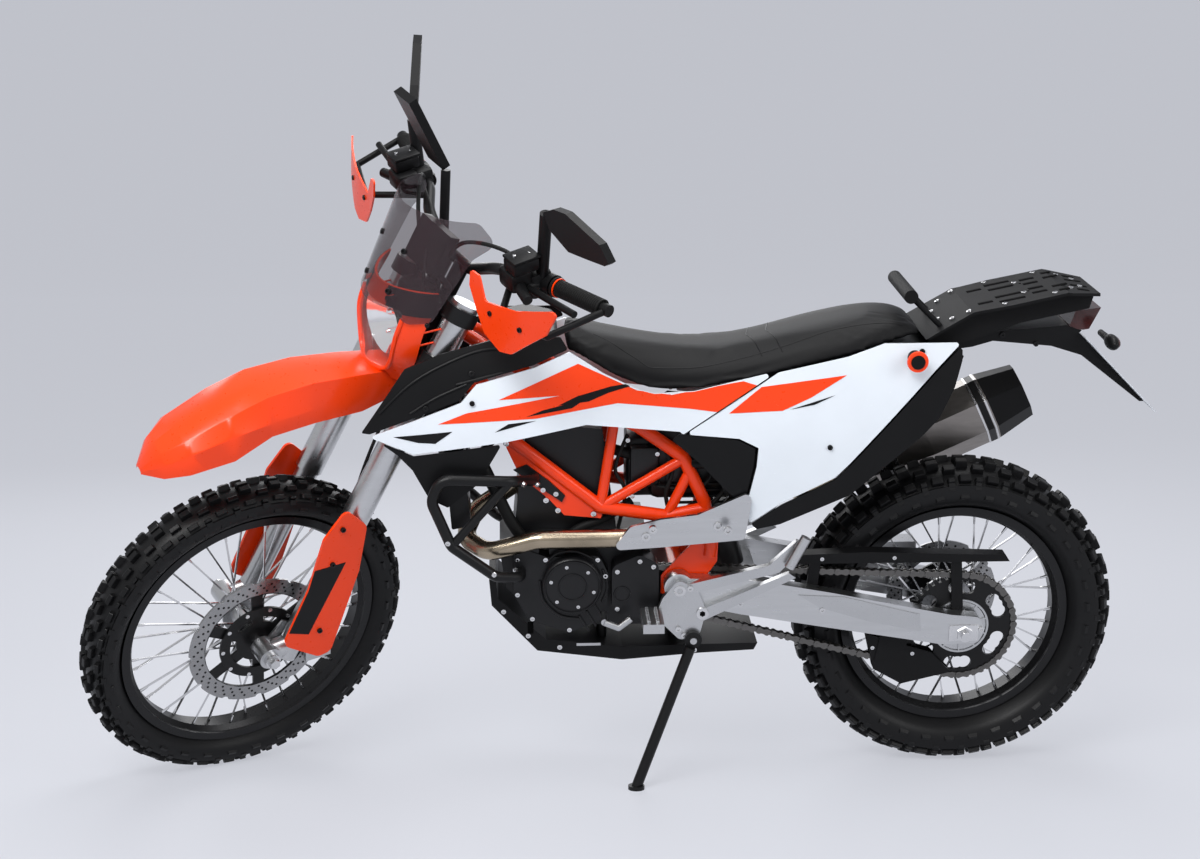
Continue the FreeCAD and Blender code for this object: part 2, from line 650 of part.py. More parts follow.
HEADER_RADIUS = 19.0
HEADER_SHARES = [(0.618, 0.640, 0.0), (0.672, 0.590, 0.10), (0.690, 0.545, 0.45),
                 (0.655, 0.535, 0.90), (0.590, 0.566, 1.00), (0.500, 0.566, 1.00),
                 (0.420, 0.568, 1.00), (0.350, 0.590, 1.00), (0.318, 0.632, 0.80),
                 (0.290, 0.645, 0.00), (0.266, 0.612, -0.55), (0.236, 0.578, -0.95),
                 (0.204, 0.562, -1.03), (0.158, 0.5955, -1.03)]
SILENCER_SIDE_SHARE = 1.03
SHIELD_SHARES = [(0.491, 0.550), (0.465, 0.600), (0.425, 0.615), (0.375, 0.624), (0.309, 0.668),
                 (0.303, 0.654), (0.311, 0.569), (0.420, 0.556)]
SILENCER_SHARES = [(0.165, 0.590), (0.110, 0.632), (0.030, 0.690), (-0.058, 0.752)]
SILENCER_HEIGHT_SHARES = [0.32, 0.75, 1.0, 1.0]
SILENCER_HALF_HEIGHT = 72.0
SILENCER_HALF_WIDTH = 52.0
SILENCER_CAP_LENGTH = 80.0


def oval(centre, along, half_height, half_width):
    """An eight-sided section with curved corners, square to a direction."""
    rise = Vector(-along.z, 0, along.x).normalize()
    if rise.z < 0:
        rise = rise * -1
    shape = [(1, 0.35), (0.45, 1), (-0.45, 1), (-1, 0.35), (-1, -0.35), (-0.45, -1),
             (0.45, -1), (1, -0.35)]
    points = [centre + rise * (up * half_height) + LEFT * (out * half_width)
              for up, out in shape]
    return polygon(points)


def make_exhaust():
    side = FRAME_HALF_WIDTH + MAIN_TUBE_RADIUS + SEAM + HEADER_RADIUS
    points = [Vector(along_bike(x), y * side, z * BODY_HEIGHT) for x, z, y in HEADER_SHARES]
    header = bent_tube(points, HEADER_RADIUS, HEADER_RADIUS * 3)
    keep("exhaust_header", header.cut(NODES["engine_cylinder"]))
    shield_side = side + HEADER_RADIUS + REST_GAP
    shield = soft_slab(body_at(SHIELD_SHARES), HEADER_RADIUS / 2, shield_side,
                       shield_side + PANEL_WALL * 2)
    keep("heat_shield", shield)
    centres = body_at(SILENCER_SHARES, -side * SILENCER_SIDE_SHARE)
    along = centres[-1] - centres[0]
    sections = [oval(c, along, SILENCER_HALF_HEIGHT * s, SILENCER_HALF_WIDTH * s)
                for c, s in zip(centres, SILENCER_HEIGHT_SHARES)]
    keep("silencer", loft(sections, True).cut(header))
    step = along.normalize()
    start = centres[-1] + step * REST_GAP
    end = start + step * SILENCER_CAP_LENGTH
    cap = loft([oval(start, along, SILENCER_HALF_HEIGHT, SILENCER_HALF_WIDTH),
                oval(end, along, SILENCER_HALF_HEIGHT * 0.8, SILENCER_HALF_WIDTH * 0.8)], True)
    mouth = rod(end - step * SILENCER_CAP_LENGTH * 0.6, end + step * PAST, HEADER_RADIUS)
    keep("silencer_cap", cap.cut(mouth))


# Bodywork

SKIN_X_SHARES = [-0.03, 0.10, 0.25, 0.40, 0.55, 0.70, 0.86]
SKIN_ROWS_SHARES = [
    (0.55, [0.70, 0.80, 0.84, 0.84, 0.86, 0.90, 0.90]),
    (0.80, [0.72, 0.84, 0.88, 0.90, 0.98, 1.05, 0.96]),
    (0.92, [0.68, 0.78, 0.80, 0.80, 0.86, 0.96, 0.86]),
    (1.03, [0.55, 0.62, 0.62, 0.60, 0.64, 0.72, 0.62]),
]
FRONT_PANEL_SHARES = [(0.807, 0.802), (0.687, 0.869), (0.667, 0.903), (0.590, 0.932),
                      (0.545, 0.959), (0.500, 0.916), (0.456, 0.884), (0.434, 0.875),
                      (0.381, 0.878), (0.273, 0.914), (0.396, 0.792), (0.400, 0.798),
                      (0.524, 0.818), (0.627, 0.789), (0.750, 0.767)]
REAR_PANEL_SHARES = [(0.270, 0.912), (0.178, 0.941), (0.129, 0.966), (0.027, 0.964),
                     (0.062, 0.910), (0.172, 0.724), (0.191, 0.695), (0.264, 0.641),
                     (0.304, 0.599), (0.309, 0.637), (0.297, 0.721), (0.295, 0.761),
                     (0.321, 0.781), (0.392, 0.792)]
REAR_LOWER_SHARES = [(0.025, 0.958), (0.025, 0.929), (0.034, 0.876), (0.054, 0.812),
                     (0.076, 0.777), (0.170, 0.656), (0.263, 0.596), (0.294, 0.586),
                     (0.302, 0.597), (0.262, 0.638), (0.189, 0.692), (0.170, 0.721),
                     (0.060, 0.907)]
INSERT_SHARES = [(0.400, 0.792), (0.321, 0.776), (0.299, 0.758), (0.301, 0.721),
                 (0.312, 0.640), (0.333, 0.665), (0.373, 0.730), (0.410, 0.780)]
SHROUD_SHARES = [(0.817, 0.810), (0.759, 0.935), (0.713, 0.962), (0.649, 0.985), (0.600, 0.985),
                 (0.557, 0.988), (0.547, 0.964), (0.592, 0.937), (0.669, 0.908), (0.689, 0.874),
                 (0.806, 0.808)]
LOWER_SHROUD_SHARES = [(0.797, 0.793), (0.771, 0.764), (0.752, 0.732), (0.731, 0.669),
                       (0.707, 0.650), (0.667, 0.700), (0.635, 0.782), (0.750, 0.761)]


def skin_solid(inset):
    """All that lies inside the curved side of the bike, out from its middle."""
    rows = []
    for height, widths in SKIN_ROWS_SHARES:
        z = height * BODY_HEIGHT
        outer = [Vector(along_bike(x), w * BODY_HALF_WIDTH - inset, z)
                 for x, w in zip(SKIN_X_SHARES, widths)]
        ends = [Vector(p.x, 0, z) for p in (outer[-1], outer[0])]
        rows.append(Part.Wire([curve(outer), Part.makeLine(outer[-1], ends[0]),
                               Part.makeLine(ends[0], ends[1]), Part.makeLine(ends[1], outer[0])]))
    return loft(rows)


def skin_wall(inset, wall):
    """The side of the bike as one curved wall, to be cut into panels."""
    rows = []
    for height, widths in SKIN_ROWS_SHARES:
        z = height * BODY_HEIGHT
        outer = [Vector(along_bike(x), w * BODY_HALF_WIDTH - inset, z)
                 for x, w in zip(SKIN_X_SHARES, widths)]
        inner = [p - LEFT * wall for p in outer]
        rows.append(Part.Wire([curve(outer), Part.makeLine(outer[-1], inner[-1]),
                               curve(list(reversed(inner))), Part.makeLine(inner[0], outer[0])]))
    return loft(rows)


def panel(shares, inset, corner, peg_shares, seat):
    """A pair of side panels cut from the curved wall, each with the peg that it is bolted by."""
    cutter = soft_slab(body_at(shares), corner, 0, BODY_HALF_WIDTH * 2)
    skin = skin_wall(inset, PANEL_WALL).common(cutter)
    spot = body_at([peg_shares])[0]
    peg = cylinder_across(spot, PANEL_PEG_RADIUS, seat + REST_GAP, BODY_HALF_WIDTH * 1.2)
    outside = skin_solid(inset + PANEL_WALL / 2)
    return both(fuse([skin, peg.common(outside)]))


SEAT_SHARES = [(0.547, 0.995, 0.945, 0.42), (0.500, 0.968, 0.915, 0.62),
               (0.430, 0.948, 0.877, 0.70), (0.350, 0.941, 0.885, 0.74),
               (0.260, 0.965, 0.914, 0.74), (0.175, 0.994, 0.943, 0.70),
               (0.110, 1.006, 0.966, 0.58), (0.078, 0.990, 0.970, 0.45)]


def seat_section(x, top, low, half):
    """One arched cross-section of the seat."""
    crown = [Vector(x, -half, low), Vector(x, -half * 0.96, low * 0.45 + top * 0.55),
             Vector(x, -half * 0.60, low * 0.08 + top * 0.92), Vector(x, 0, top),
             Vector(x, half * 0.60, low * 0.08 + top * 0.92),
             Vector(x, half * 0.96, low * 0.45 + top * 0.55), Vector(x, half, low)]
    return Part.Wire([curve(crown), Part.makeLine(crown[-1], crown[0])])


def make_seat():
    sections = [seat_section(along_bike(x), top * BODY_HEIGHT, low * BODY_HEIGHT,
                             half * BODY_HALF_WIDTH)
                for x, top, low, half in SEAT_SHARES]
    return loft(sections)


TANK_COVER_SHARES = [(0.649, 0.985), (0.600, 1.000), (0.560, 0.985), (0.556, 0.945),
                     (0.600, 0.924), (0.649, 0.9592)]
TAIL_TANK_SHARES = [(0.318, 0.8925), (0.250, 0.9165), (0.175, 0.9415), (0.115, 0.9615),
                    (0.020, 0.932), (0.030, 0.880), (0.070, 0.790), (0.160, 0.720),
                    (0.280, 0.690), (0.318, 0.740)]
TAIL_TANK_HALF_WIDTH = 102.0
RADIATOR_OUTER = 150.0
PANEL_PEG_RADIUS = 6.0
FRONT_PEG_SHARES = (0.520, 0.8416)
REAR_PEG_SHARES = (0.200, 0.800)
REAR_LOWER_PEG_SHARES = (0.052, 0.872)
INSERT_PEG_SHARES = (0.3095, 0.748)
SHROUD_PEG_SHARES = (0.704, 0.872)
LOWER_SHROUD_PEG_SHARES = (0.698, 0.745)


def make_bodywork():
    tube = FRAME_HALF_WIDTH * 0.908 + MAIN_TUBE_RADIUS
    tank = TAIL_TANK_HALF_WIDTH
    keep("front_panels", panel(FRONT_PANEL_SHARES, 0, PANEL_WALL, FRONT_PEG_SHARES, tube))
    keep("rear_panels", panel(REAR_PANEL_SHARES, 0, PANEL_WALL, REAR_PEG_SHARES, tank))
    keep("rear_lower_panels",
         panel(REAR_LOWER_SHARES, 0, PANEL_WALL, REAR_LOWER_PEG_SHARES, tank)
         + panel(INSERT_SHARES, PANEL_WALL, PANEL_WALL, INSERT_PEG_SHARES, tank))
    cover = BODY_HALF_WIDTH * 0.55
    keep("shrouds",
         panel(SHROUD_SHARES, 0, PANEL_WALL, SHROUD_PEG_SHARES, RADIATOR_OUTER)
         + panel(LOWER_SHROUD_SHARES, PANEL_WALL, PANEL_WALL, LOWER_SHROUD_PEG_SHARES,
                 RADIATOR_OUTER)
         + [soft_slab(body_at(TANK_COVER_SHARES), PAST, -cover, cover)])
    keep("seat", make_seat())


# Tail

TAIL_SHARES = [(0.040, 0.900), (0.015, 0.932), (0.000, 0.935), (-0.028, 0.947), (-0.108, 0.935),
               (-0.150, 0.915), (-0.236, 0.815), (-0.250, 0.815), (-0.160, 0.960),
               (-0.128, 0.978), (0.010, 0.962), (0.060, 0.935)]
TAIL_HALF_WIDTH = 45.0
PLATE_SHARES = [(-0.145, 0.962), (-0.249, 0.805)]
PLATE_HALF_WIDTH = 90.0
LIGHT_SHARES = [(-0.172, 1.014), (-0.158, 0.970), (-0.150, 0.968), (-0.130, 0.972),
                (-0.138, 1.008)]
TANK_LUG_SHARES = (0.300, 0.712)
RACK_SIDE_SHARES = [(0.072, 0.967), (0.010, 1.021), (-0.115, 1.060), (-0.164, 1.050),
                    (-0.164, 1.044), (-0.115, 1.054), (0.010, 1.015), (0.066, 0.967)]
RACK_PLAN_SHARES = [(0.072, 0.60), (0.000, 0.58), (-0.040, 0.62), (-0.120, 0.60), (-0.164, 0.42)]
RAIL_SHARES = [(0.060, 0.975), (0.010, 1.018), (-0.115, 1.057), (-0.155, 1.048),
               (-0.150, 1.020), (-0.060, 0.992), (0.020, 0.950), (0.025, 0.925), (0.070, 0.925)]
RACK_BOLTS = 4
RACK_BOLT_CIRCLE = 90.0
RACK_BOLT_RADIUS = 3.3
ROLL_SHARES = (0.092, 1.050)
ROLL_RADIUS = 14.0
ROLL_FOOT_SHARES = (0.048, 0.985)
KNOB_SHARES = (0.090, 0.938)


def rack_bolt_place():
    """Middle of the rack's bolt circle, on the plate's top face, and the face's normal."""
    front, rear = body_at(RACK_SIDE_SHARES[1:3])
    along = (front - rear).normalize()
    return (front + rear) * 0.5, Vector(-along.z, 0, along.x)


def make_tail():
    top, low = body_at(PLATE_SHARES)
    back = (low - top).normalize()
    outward = Vector(back.z, 0, -back.x)
    if outward.x > 0:
        outward = outward * -1
    outline = [p + LEFT * side for p, side in ((top, -PLATE_HALF_WIDTH), (top, PLATE_HALF_WIDTH),
                                               (low, PLATE_HALF_WIDTH), (low, -PLATE_HALF_WIDTH))]
    keep("number_plate", prism(outline, outward * (PANEL_WALL / 2)))
    behind = prism([p - outward * REST_GAP for p in outline], outward * PAST)
    tail = slab(body_at(TAIL_SHARES), -TAIL_HALF_WIDTH, TAIL_HALF_WIDTH)
    tail = tail.cut(behind)
    tank = slab(body_at(TAIL_TANK_SHARES), -TAIL_TANK_HALF_WIDTH, TAIL_TANK_HALF_WIDTH)
    low_tube, high_tube = body_at([TOP_TUBE_SHARES[3][:2], TOP_TUBE_SHARES[2][:2]],
                                  FRAME_HALF_WIDTH)
    start = body_at([TANK_LUG_SHARES], FRAME_HALF_WIDTH)[0]
    lug = rod(start, start + AHEAD * WHEELBASE * 0.1, BRACE_TUBE_RADIUS)
    lug = lug.cut(rod(low_tube, high_tube, MAIN_TUBE_RADIUS + REST_GAP))
    lug = min(lug.Solids, key=lambda solid: solid.CenterOfMass.x)
    keep("tail_section", fuse([tank, tail] + both(lug)))
    light = slab(body_at(LIGHT_SHARES), -TAIL_HALF_WIDTH, TAIL_HALF_WIDTH)
    keep("tail_light", light.cut(tail))
    side_form = slab(body_at(RACK_SIDE_SHARES), -BODY_HALF_WIDTH, BODY_HALF_WIDTH)
    plan = [Vector(along_bike(x), y * BODY_HALF_WIDTH, 0) for x, y in RACK_PLAN_SHARES]
    plan += [Vector(p.x, -p.y, 0) for p in reversed(plan)]
    plate = side_form.common(prism(plan, UP * BODY_HEIGHT * 2))
    rail_side = BODY_HALF_WIDTH * 0.40
    rails = both(slab(body_at(RAIL_SHARES), rail_side, rail_side + PLATE_WALL))
    roll = body_at([ROLL_SHARES])[0]
    roller = cylinder_across(roll, ROLL_RADIUS, -BODY_HALF_WIDTH * 0.5, BODY_HALF_WIDTH * 0.5)
    foot = body_at([ROLL_FOOT_SHARES], rail_side + PLATE_WALL / 2)[0]
    stays = both(rod(foot, Vector(roll.x, foot.y, roll.z), ROLL_RADIUS * 0.4))
    middle, normal = rack_bolt_place()
    along = normal.cross(LEFT)
    holes = []
    for index in range(RACK_BOLTS):
        turn = 2 * math.pi * (index + 0.5) / RACK_BOLTS
        spot = middle + (along * math.cos(turn) + LEFT * math.sin(turn)) * (RACK_BOLT_CIRCLE / 2)
        holes.append(rod(spot - normal * PAST, spot + normal * PAST, RACK_BOLT_RADIUS))
    rack = fuse([plate, roller] + rails + stays).cut(Part.makeCompound(holes))
    keep("luggage_rack", rack.cut(NODES["tail_section"]))
    knob = body_at([KNOB_SHARES])[0]
    knob_end = BODY_HALF_WIDTH * 0.98
    keep("rack_knobs", both(cylinder_across(knob, ROLL_RADIUS, TAIL_TANK_HALF_WIDTH, knob_end)))
    knob_room = cylinder_across(knob, ROLL_RADIUS + REST_GAP, -knob_end, knob_end)
    keep("rear_panels", NODES["rear_panels"].cut(knob_room))


# Swingarm, shock and what hangs from them

ARM_SHARES = [(1.038, 0.030), (0.749, 0.070), (0.487, 0.070), (0.062, 0.060), (-0.037, 0.068),
              (-0.066, 0.026), (-0.055, -0.026), (0.068, -0.052), (0.475, -0.057),
              (0.775, -0.059), (0.998, -0.052)]
ARM_BRIDGE_SHARES = [(0.888, 0.032), (0.790, 0.050), (0.711, 0.028), (0.772, -0.047),
                     (0.873, -0.044)]
PIVOT_BOSS_RADIUS = 30.0
SHOCK_RADIUS = 34.0
SHOCK_SHARES = [(0.320, 0.455), (0.345, 0.600)]
GUARD_SHARES = [(0.612, 0.171), (0.638, 0.133), (-0.102, 0.271), (-0.083, 0.291), (0.380, 0.222)]
GUIDE_SHARES = [(0.319, -0.081), (0.077, -0.110), (-0.007, -0.170), (0.155, -0.243), (0.263, -0.205)]
GUARD_TAB_SHARES = [[(0.571, 0.156), (0.535, 0.163), (0.524, 0.039), (0.562, 0.040)],
                    [(0.097, 0.246), (0.061, 0.253), (0.002, 0.038), (0.041, 0.031)]]
CALIPER_HANGER_SHARES = [(0.138, 0.130), (0.255, 0.107), (0.200, -0.008), (0.115, 0.008)]
GUIDE_TAB_SHARES = [(0.269, -0.172), (0.172, -0.154), (0.171, -0.028), (0.270, -0.038)]


def make_swingarm():
    low = ARM_INNER
    high = ARM_OUTER
    arm = soft_slab(arm_at(ARM_SHARES), PIVOT_BOSS_RADIUS / 2, low, high)
    boss = cylinder_across(PIVOT, PIVOT_BOSS_RADIUS, low, high)
    side = arm.fuse(boss)
    bridge = slab(arm_at(ARM_BRIDGE_SHARES), -low - SEAM, low + SEAM)
    arm_pair = fuse([side, mirrored(side), bridge])
    axle = cylinder_across(REAR_AXLE, AXLE_RADIUS + AXLE_FIT, -high - PAST, high + PAST)
    keep("swingarm", arm_pair.cut(axle))
    axle_end = cylinder_across(REAR_AXLE, AXLE_END_RADIUS, high, high + PLATE_WALL + AXLE_END_LENGTH)
    keep("rear_axle", fuse([cylinder_across(REAR_AXLE, AXLE_RADIUS, -high - PAST / 2,
                                            high + PLATE_WALL), axle_end]))
    foot, top = body_at(SHOCK_SHARES)
    eye = body_at([TOP_TUBE_SHARES[3][:2]])[0]
    cross = cylinder_across(eye, BRACE_TUBE_RADIUS + REST_GAP, -SHOCK_RADIUS * 2, SHOCK_RADIUS * 2)
    damper = rod(foot, eye, SHOCK_RADIUS / 2)
    spring = rod(foot, top, SHOCK_RADIUS)
    keep("shock", fuse([damper, spring]).cut(arm_pair).cut(cross))
    guard_low = CHAIN_SIDE - CHAIN_INNER_GAP
    guard = slab(arm_at(GUARD_SHARES), guard_low, low + PLATE_WALL)
    guide = slab(arm_at(GUIDE_SHARES), CHAIN_SIDE - CHAIN_INNER_GAP * 1.6,
                 CHAIN_SIDE + CHAIN_INNER_GAP * 1.6)
    room = Part.Face(chain_loop(CHAIN_PLATE_HEIGHT * 0.7)).extrude(LEFT * CHAIN_INNER_GAP * 2.4)
    room.translate(LEFT * (CHAIN_SIDE - CHAIN_INNER_GAP * 1.2))
    tab_low = low - PLATE_WALL
    tab_high = low - REST_GAP
    tabs = [slab(arm_at(shares), tab_low, tab_high) for shares in GUARD_TAB_SHARES]
    guide_tab = slab(arm_at(GUIDE_TAB_SHARES), tab_low, tab_high)
    keep("chain_guards", [fuse([guard] + tabs), fuse([guide.cut(room), guide_tab])])
    caliper_low = -REAR_DISC_SIDE - COVER_DEPTH * 0.6
    spot = REAR_AXLE + Vector(REAR_DISC_RADIUS * 0.55, 0, REAR_DISC_RADIUS * 0.75)
    caliper = Part.makeBox(COVER_DEPTH * 2, COVER_DEPTH * 1.2, COVER_DEPTH,
                           Vector(spot.x, caliper_low, spot.z))
    slot_half = DISC_THICKNESS / 2 + BRAKE_CLEARANCE
    slot = cylinder_across(REAR_AXLE, REAR_DISC_RADIUS + BRAKE_CLEARANCE,
                           -REAR_DISC_SIDE - slot_half, -REAR_DISC_SIDE + slot_half)
    arm_face = -low + REST_GAP
    hanger = slab(arm_at(CALIPER_HANGER_SHARES), arm_face, arm_face + PLATE_WALL)
    keep("rear_caliper", fuse([caliper.cut(slot), hanger]))


# Feet

BRACKET_SHARES = [(0.399, 0.480), (0.372, 0.457), (0.360, 0.412), (0.369, 0.357), (0.396, 0.347),
                  (0.430, 0.400), (0.420, 0.440)]
PEG_SHARES = (0.436, 0.410)
PEG_LENGTH = 85.0
HANGER_SHARES = [[(0.395, 0.466), (0.276, 0.508), (0.240, 0.560), (0.225, 0.553), (0.262, 0.492),
                  (0.392, 0.444)],
                 [(0.380, 0.405), (0.248, 0.490), (0.239, 0.480), (0.376, 0.380)]]
PASSENGER_PEG_SHARES = [(0.250, 0.508), (0.228, 0.572)]
PEG_RADIUS = 11.0
SHIFT_SHARES = [(0.499, 0.392), (0.480, 0.380), (0.463, 0.400)]
PEDAL_SHARES = [(0.515, 0.400), (0.470, 0.372), (0.405, 0.378)]
LEVER_RADIUS = 7.0


def make_feet():
    """Cast foot brackets with their hangers and stand pin, the pegs, and the two foot levers."""
    low = BRACKET_INNER
    outer = BRACKET_OUTER
    bracket = soft_slab(body_at(BRACKET_SHARES), PIVOT_BOSS_RADIUS / 2, low, outer)
    hangers = [slab(body_at(shares), low, outer) for shares in HANGER_SHARES]
    casting = fuse([bracket] + hangers)
    pivot = stand_pivot()
    pin = cylinder_across(pivot, STAND_PIN_RADIUS, outer - PLATE_WALL,
                          STAND_SIDE + STAND_LUG_THICKNESS / 2 + PLATE_WALL)
    keep("foot_brackets", [fuse([casting, pin]), mirrored(casting)])
    peg = body_at([PEG_SHARES])[0]
    pegs = Part.makeBox(PEG_LENGTH / 2, PEG_LENGTH, PLATE_WALL * 4,
                        Vector(peg.x - PEG_LENGTH / 4, outer, peg.z - PLATE_WALL * 2))
    side = outer + PEG_RADIUS
    spare, tip = body_at(PASSENGER_PEG_SHARES, side)
    stub = rod(spare, tip, PEG_RADIUS)
    points = body_at(SHIFT_SHARES, outer + LEVER_RADIUS)
    shaft = rod(Vector(points[0].x, ENGINE_COVER_FACE + REST_GAP, points[0].z), points[0],
                LEVER_RADIUS)
    shifter = fuse([tube_run(points, LEVER_RADIUS), shaft])
    points = body_at(PEDAL_SHARES, -outer - LEVER_RADIUS - REST_GAP)
    pedal = tube_run(points, LEVER_RADIUS)
    keep("foot_controls", both(pegs) + both(stub) + [shifter, pedal])


# Radiators and crash bars

RADIATOR_SHARES = [(0.831, -0.101), (0.854, -0.144), (0.560, -0.324), (0.529, -0.287)]
RADIATOR_STAY_SHARES = (0.650, 0.798)
CRASH_SHARES = [(0.592, 0.690), (0.624, 0.712), (0.716, 0.722), (0.728, 0.676),
                (0.703, 0.580), (0.645, 0.505), (0.612, 0.490)]
CRASH_SIDE_SHARES = [0.72, 1.12, 1.18, 1.18, 1.16, 1.04, 0.86]
CRASH_BRACE_SHARES = [((0.703, 0.580), 1.16), ((0.624, 0.712), 1.12)]
CRASH_PLATE_SHARES = [(0.555, 0.636), (0.585, 0.668), (0.620, 0.706), (0.602, 0.717),
                      (0.572, 0.681), (0.551, 0.650)]
CRASH_RADIUS = 11.0


def make_front_guards():
    """Radiators on stays from the frame, and the tube guards bolted to its gussets."""
    inner = HEAD_TUBE_RADIUS * 1.6
    corners = [on_fork(up * FORK_LENGTH, 0, ahead * FORK_LENGTH) for up, ahead in RADIATOR_SHARES]
    core = soft_slab(corners, PANEL_WALL, inner, RADIATOR_OUTER)
    start = body_at([RADIATOR_STAY_SHARES], FRAME_HALF_WIDTH * 0.9)[0]
    stay = rod(start, start + AHEAD * WHEELBASE * 0.05, LEVER_RADIUS)
    keep("radiators", both(fuse([core, stay]).cut(NODES["frame"])))
    bars = []
    for side, seat in ((1, ENGINE_COVER_FACE), (-1, CASE_HALF_WIDTH)):
        path = [Vector(along_bike(x), side * y * BODY_HALF_WIDTH, z * BODY_HEIGHT)
                for (x, z), y in zip(CRASH_SHARES, CRASH_SIDE_SHARES)]
        path.append(Vector(path[-1].x, side * (seat + REST_GAP), path[-1].z))
        plate_low = FRAME_HALF_WIDTH + PLATE_WALL / 2 + REST_GAP
        plate = slab(body_at(CRASH_PLATE_SHARES), side * plate_low,
                     side * (plate_low + PLATE_WALL))
        start = Vector(path[0].x, side * (plate_low + PLATE_WALL / 2), path[0].z)
        loop = bent_tube([start] + path, CRASH_RADIUS, CRASH_RADIUS * 3)
        ends = [Vector(along_bike(x), side * y * BODY_HALF_WIDTH, z * BODY_HEIGHT)
                for (x, z), y in CRASH_BRACE_SHARES]
        bars.append(fuse([loop, plate, rod(ends[0], ends[1], CRASH_RADIUS * 0.8)]))
    keep("crash_bars", bars)


# Fork

TUBE_END = 330.0            # bottom of the fork's outer tubes
GUARD_FORM_SHARES = [(-0.201, 0.414), (-0.258, 0.349), (-0.238, 0.214), (-0.160, -0.022),
                     (-0.125, -0.028), (-0.027, 0.043), (-0.097, 0.196), (-0.139, 0.340)]
GUARD_BOSS_SHARES = (0.09, 0.30)
BRAKE_STAY_SHARES = [(-0.800, -0.213), (-0.320, -0.373), (-0.107, 0.107), (-0.320, 0.320),
                     (-0.693, 0.107)]
AXLE_END = 128.0


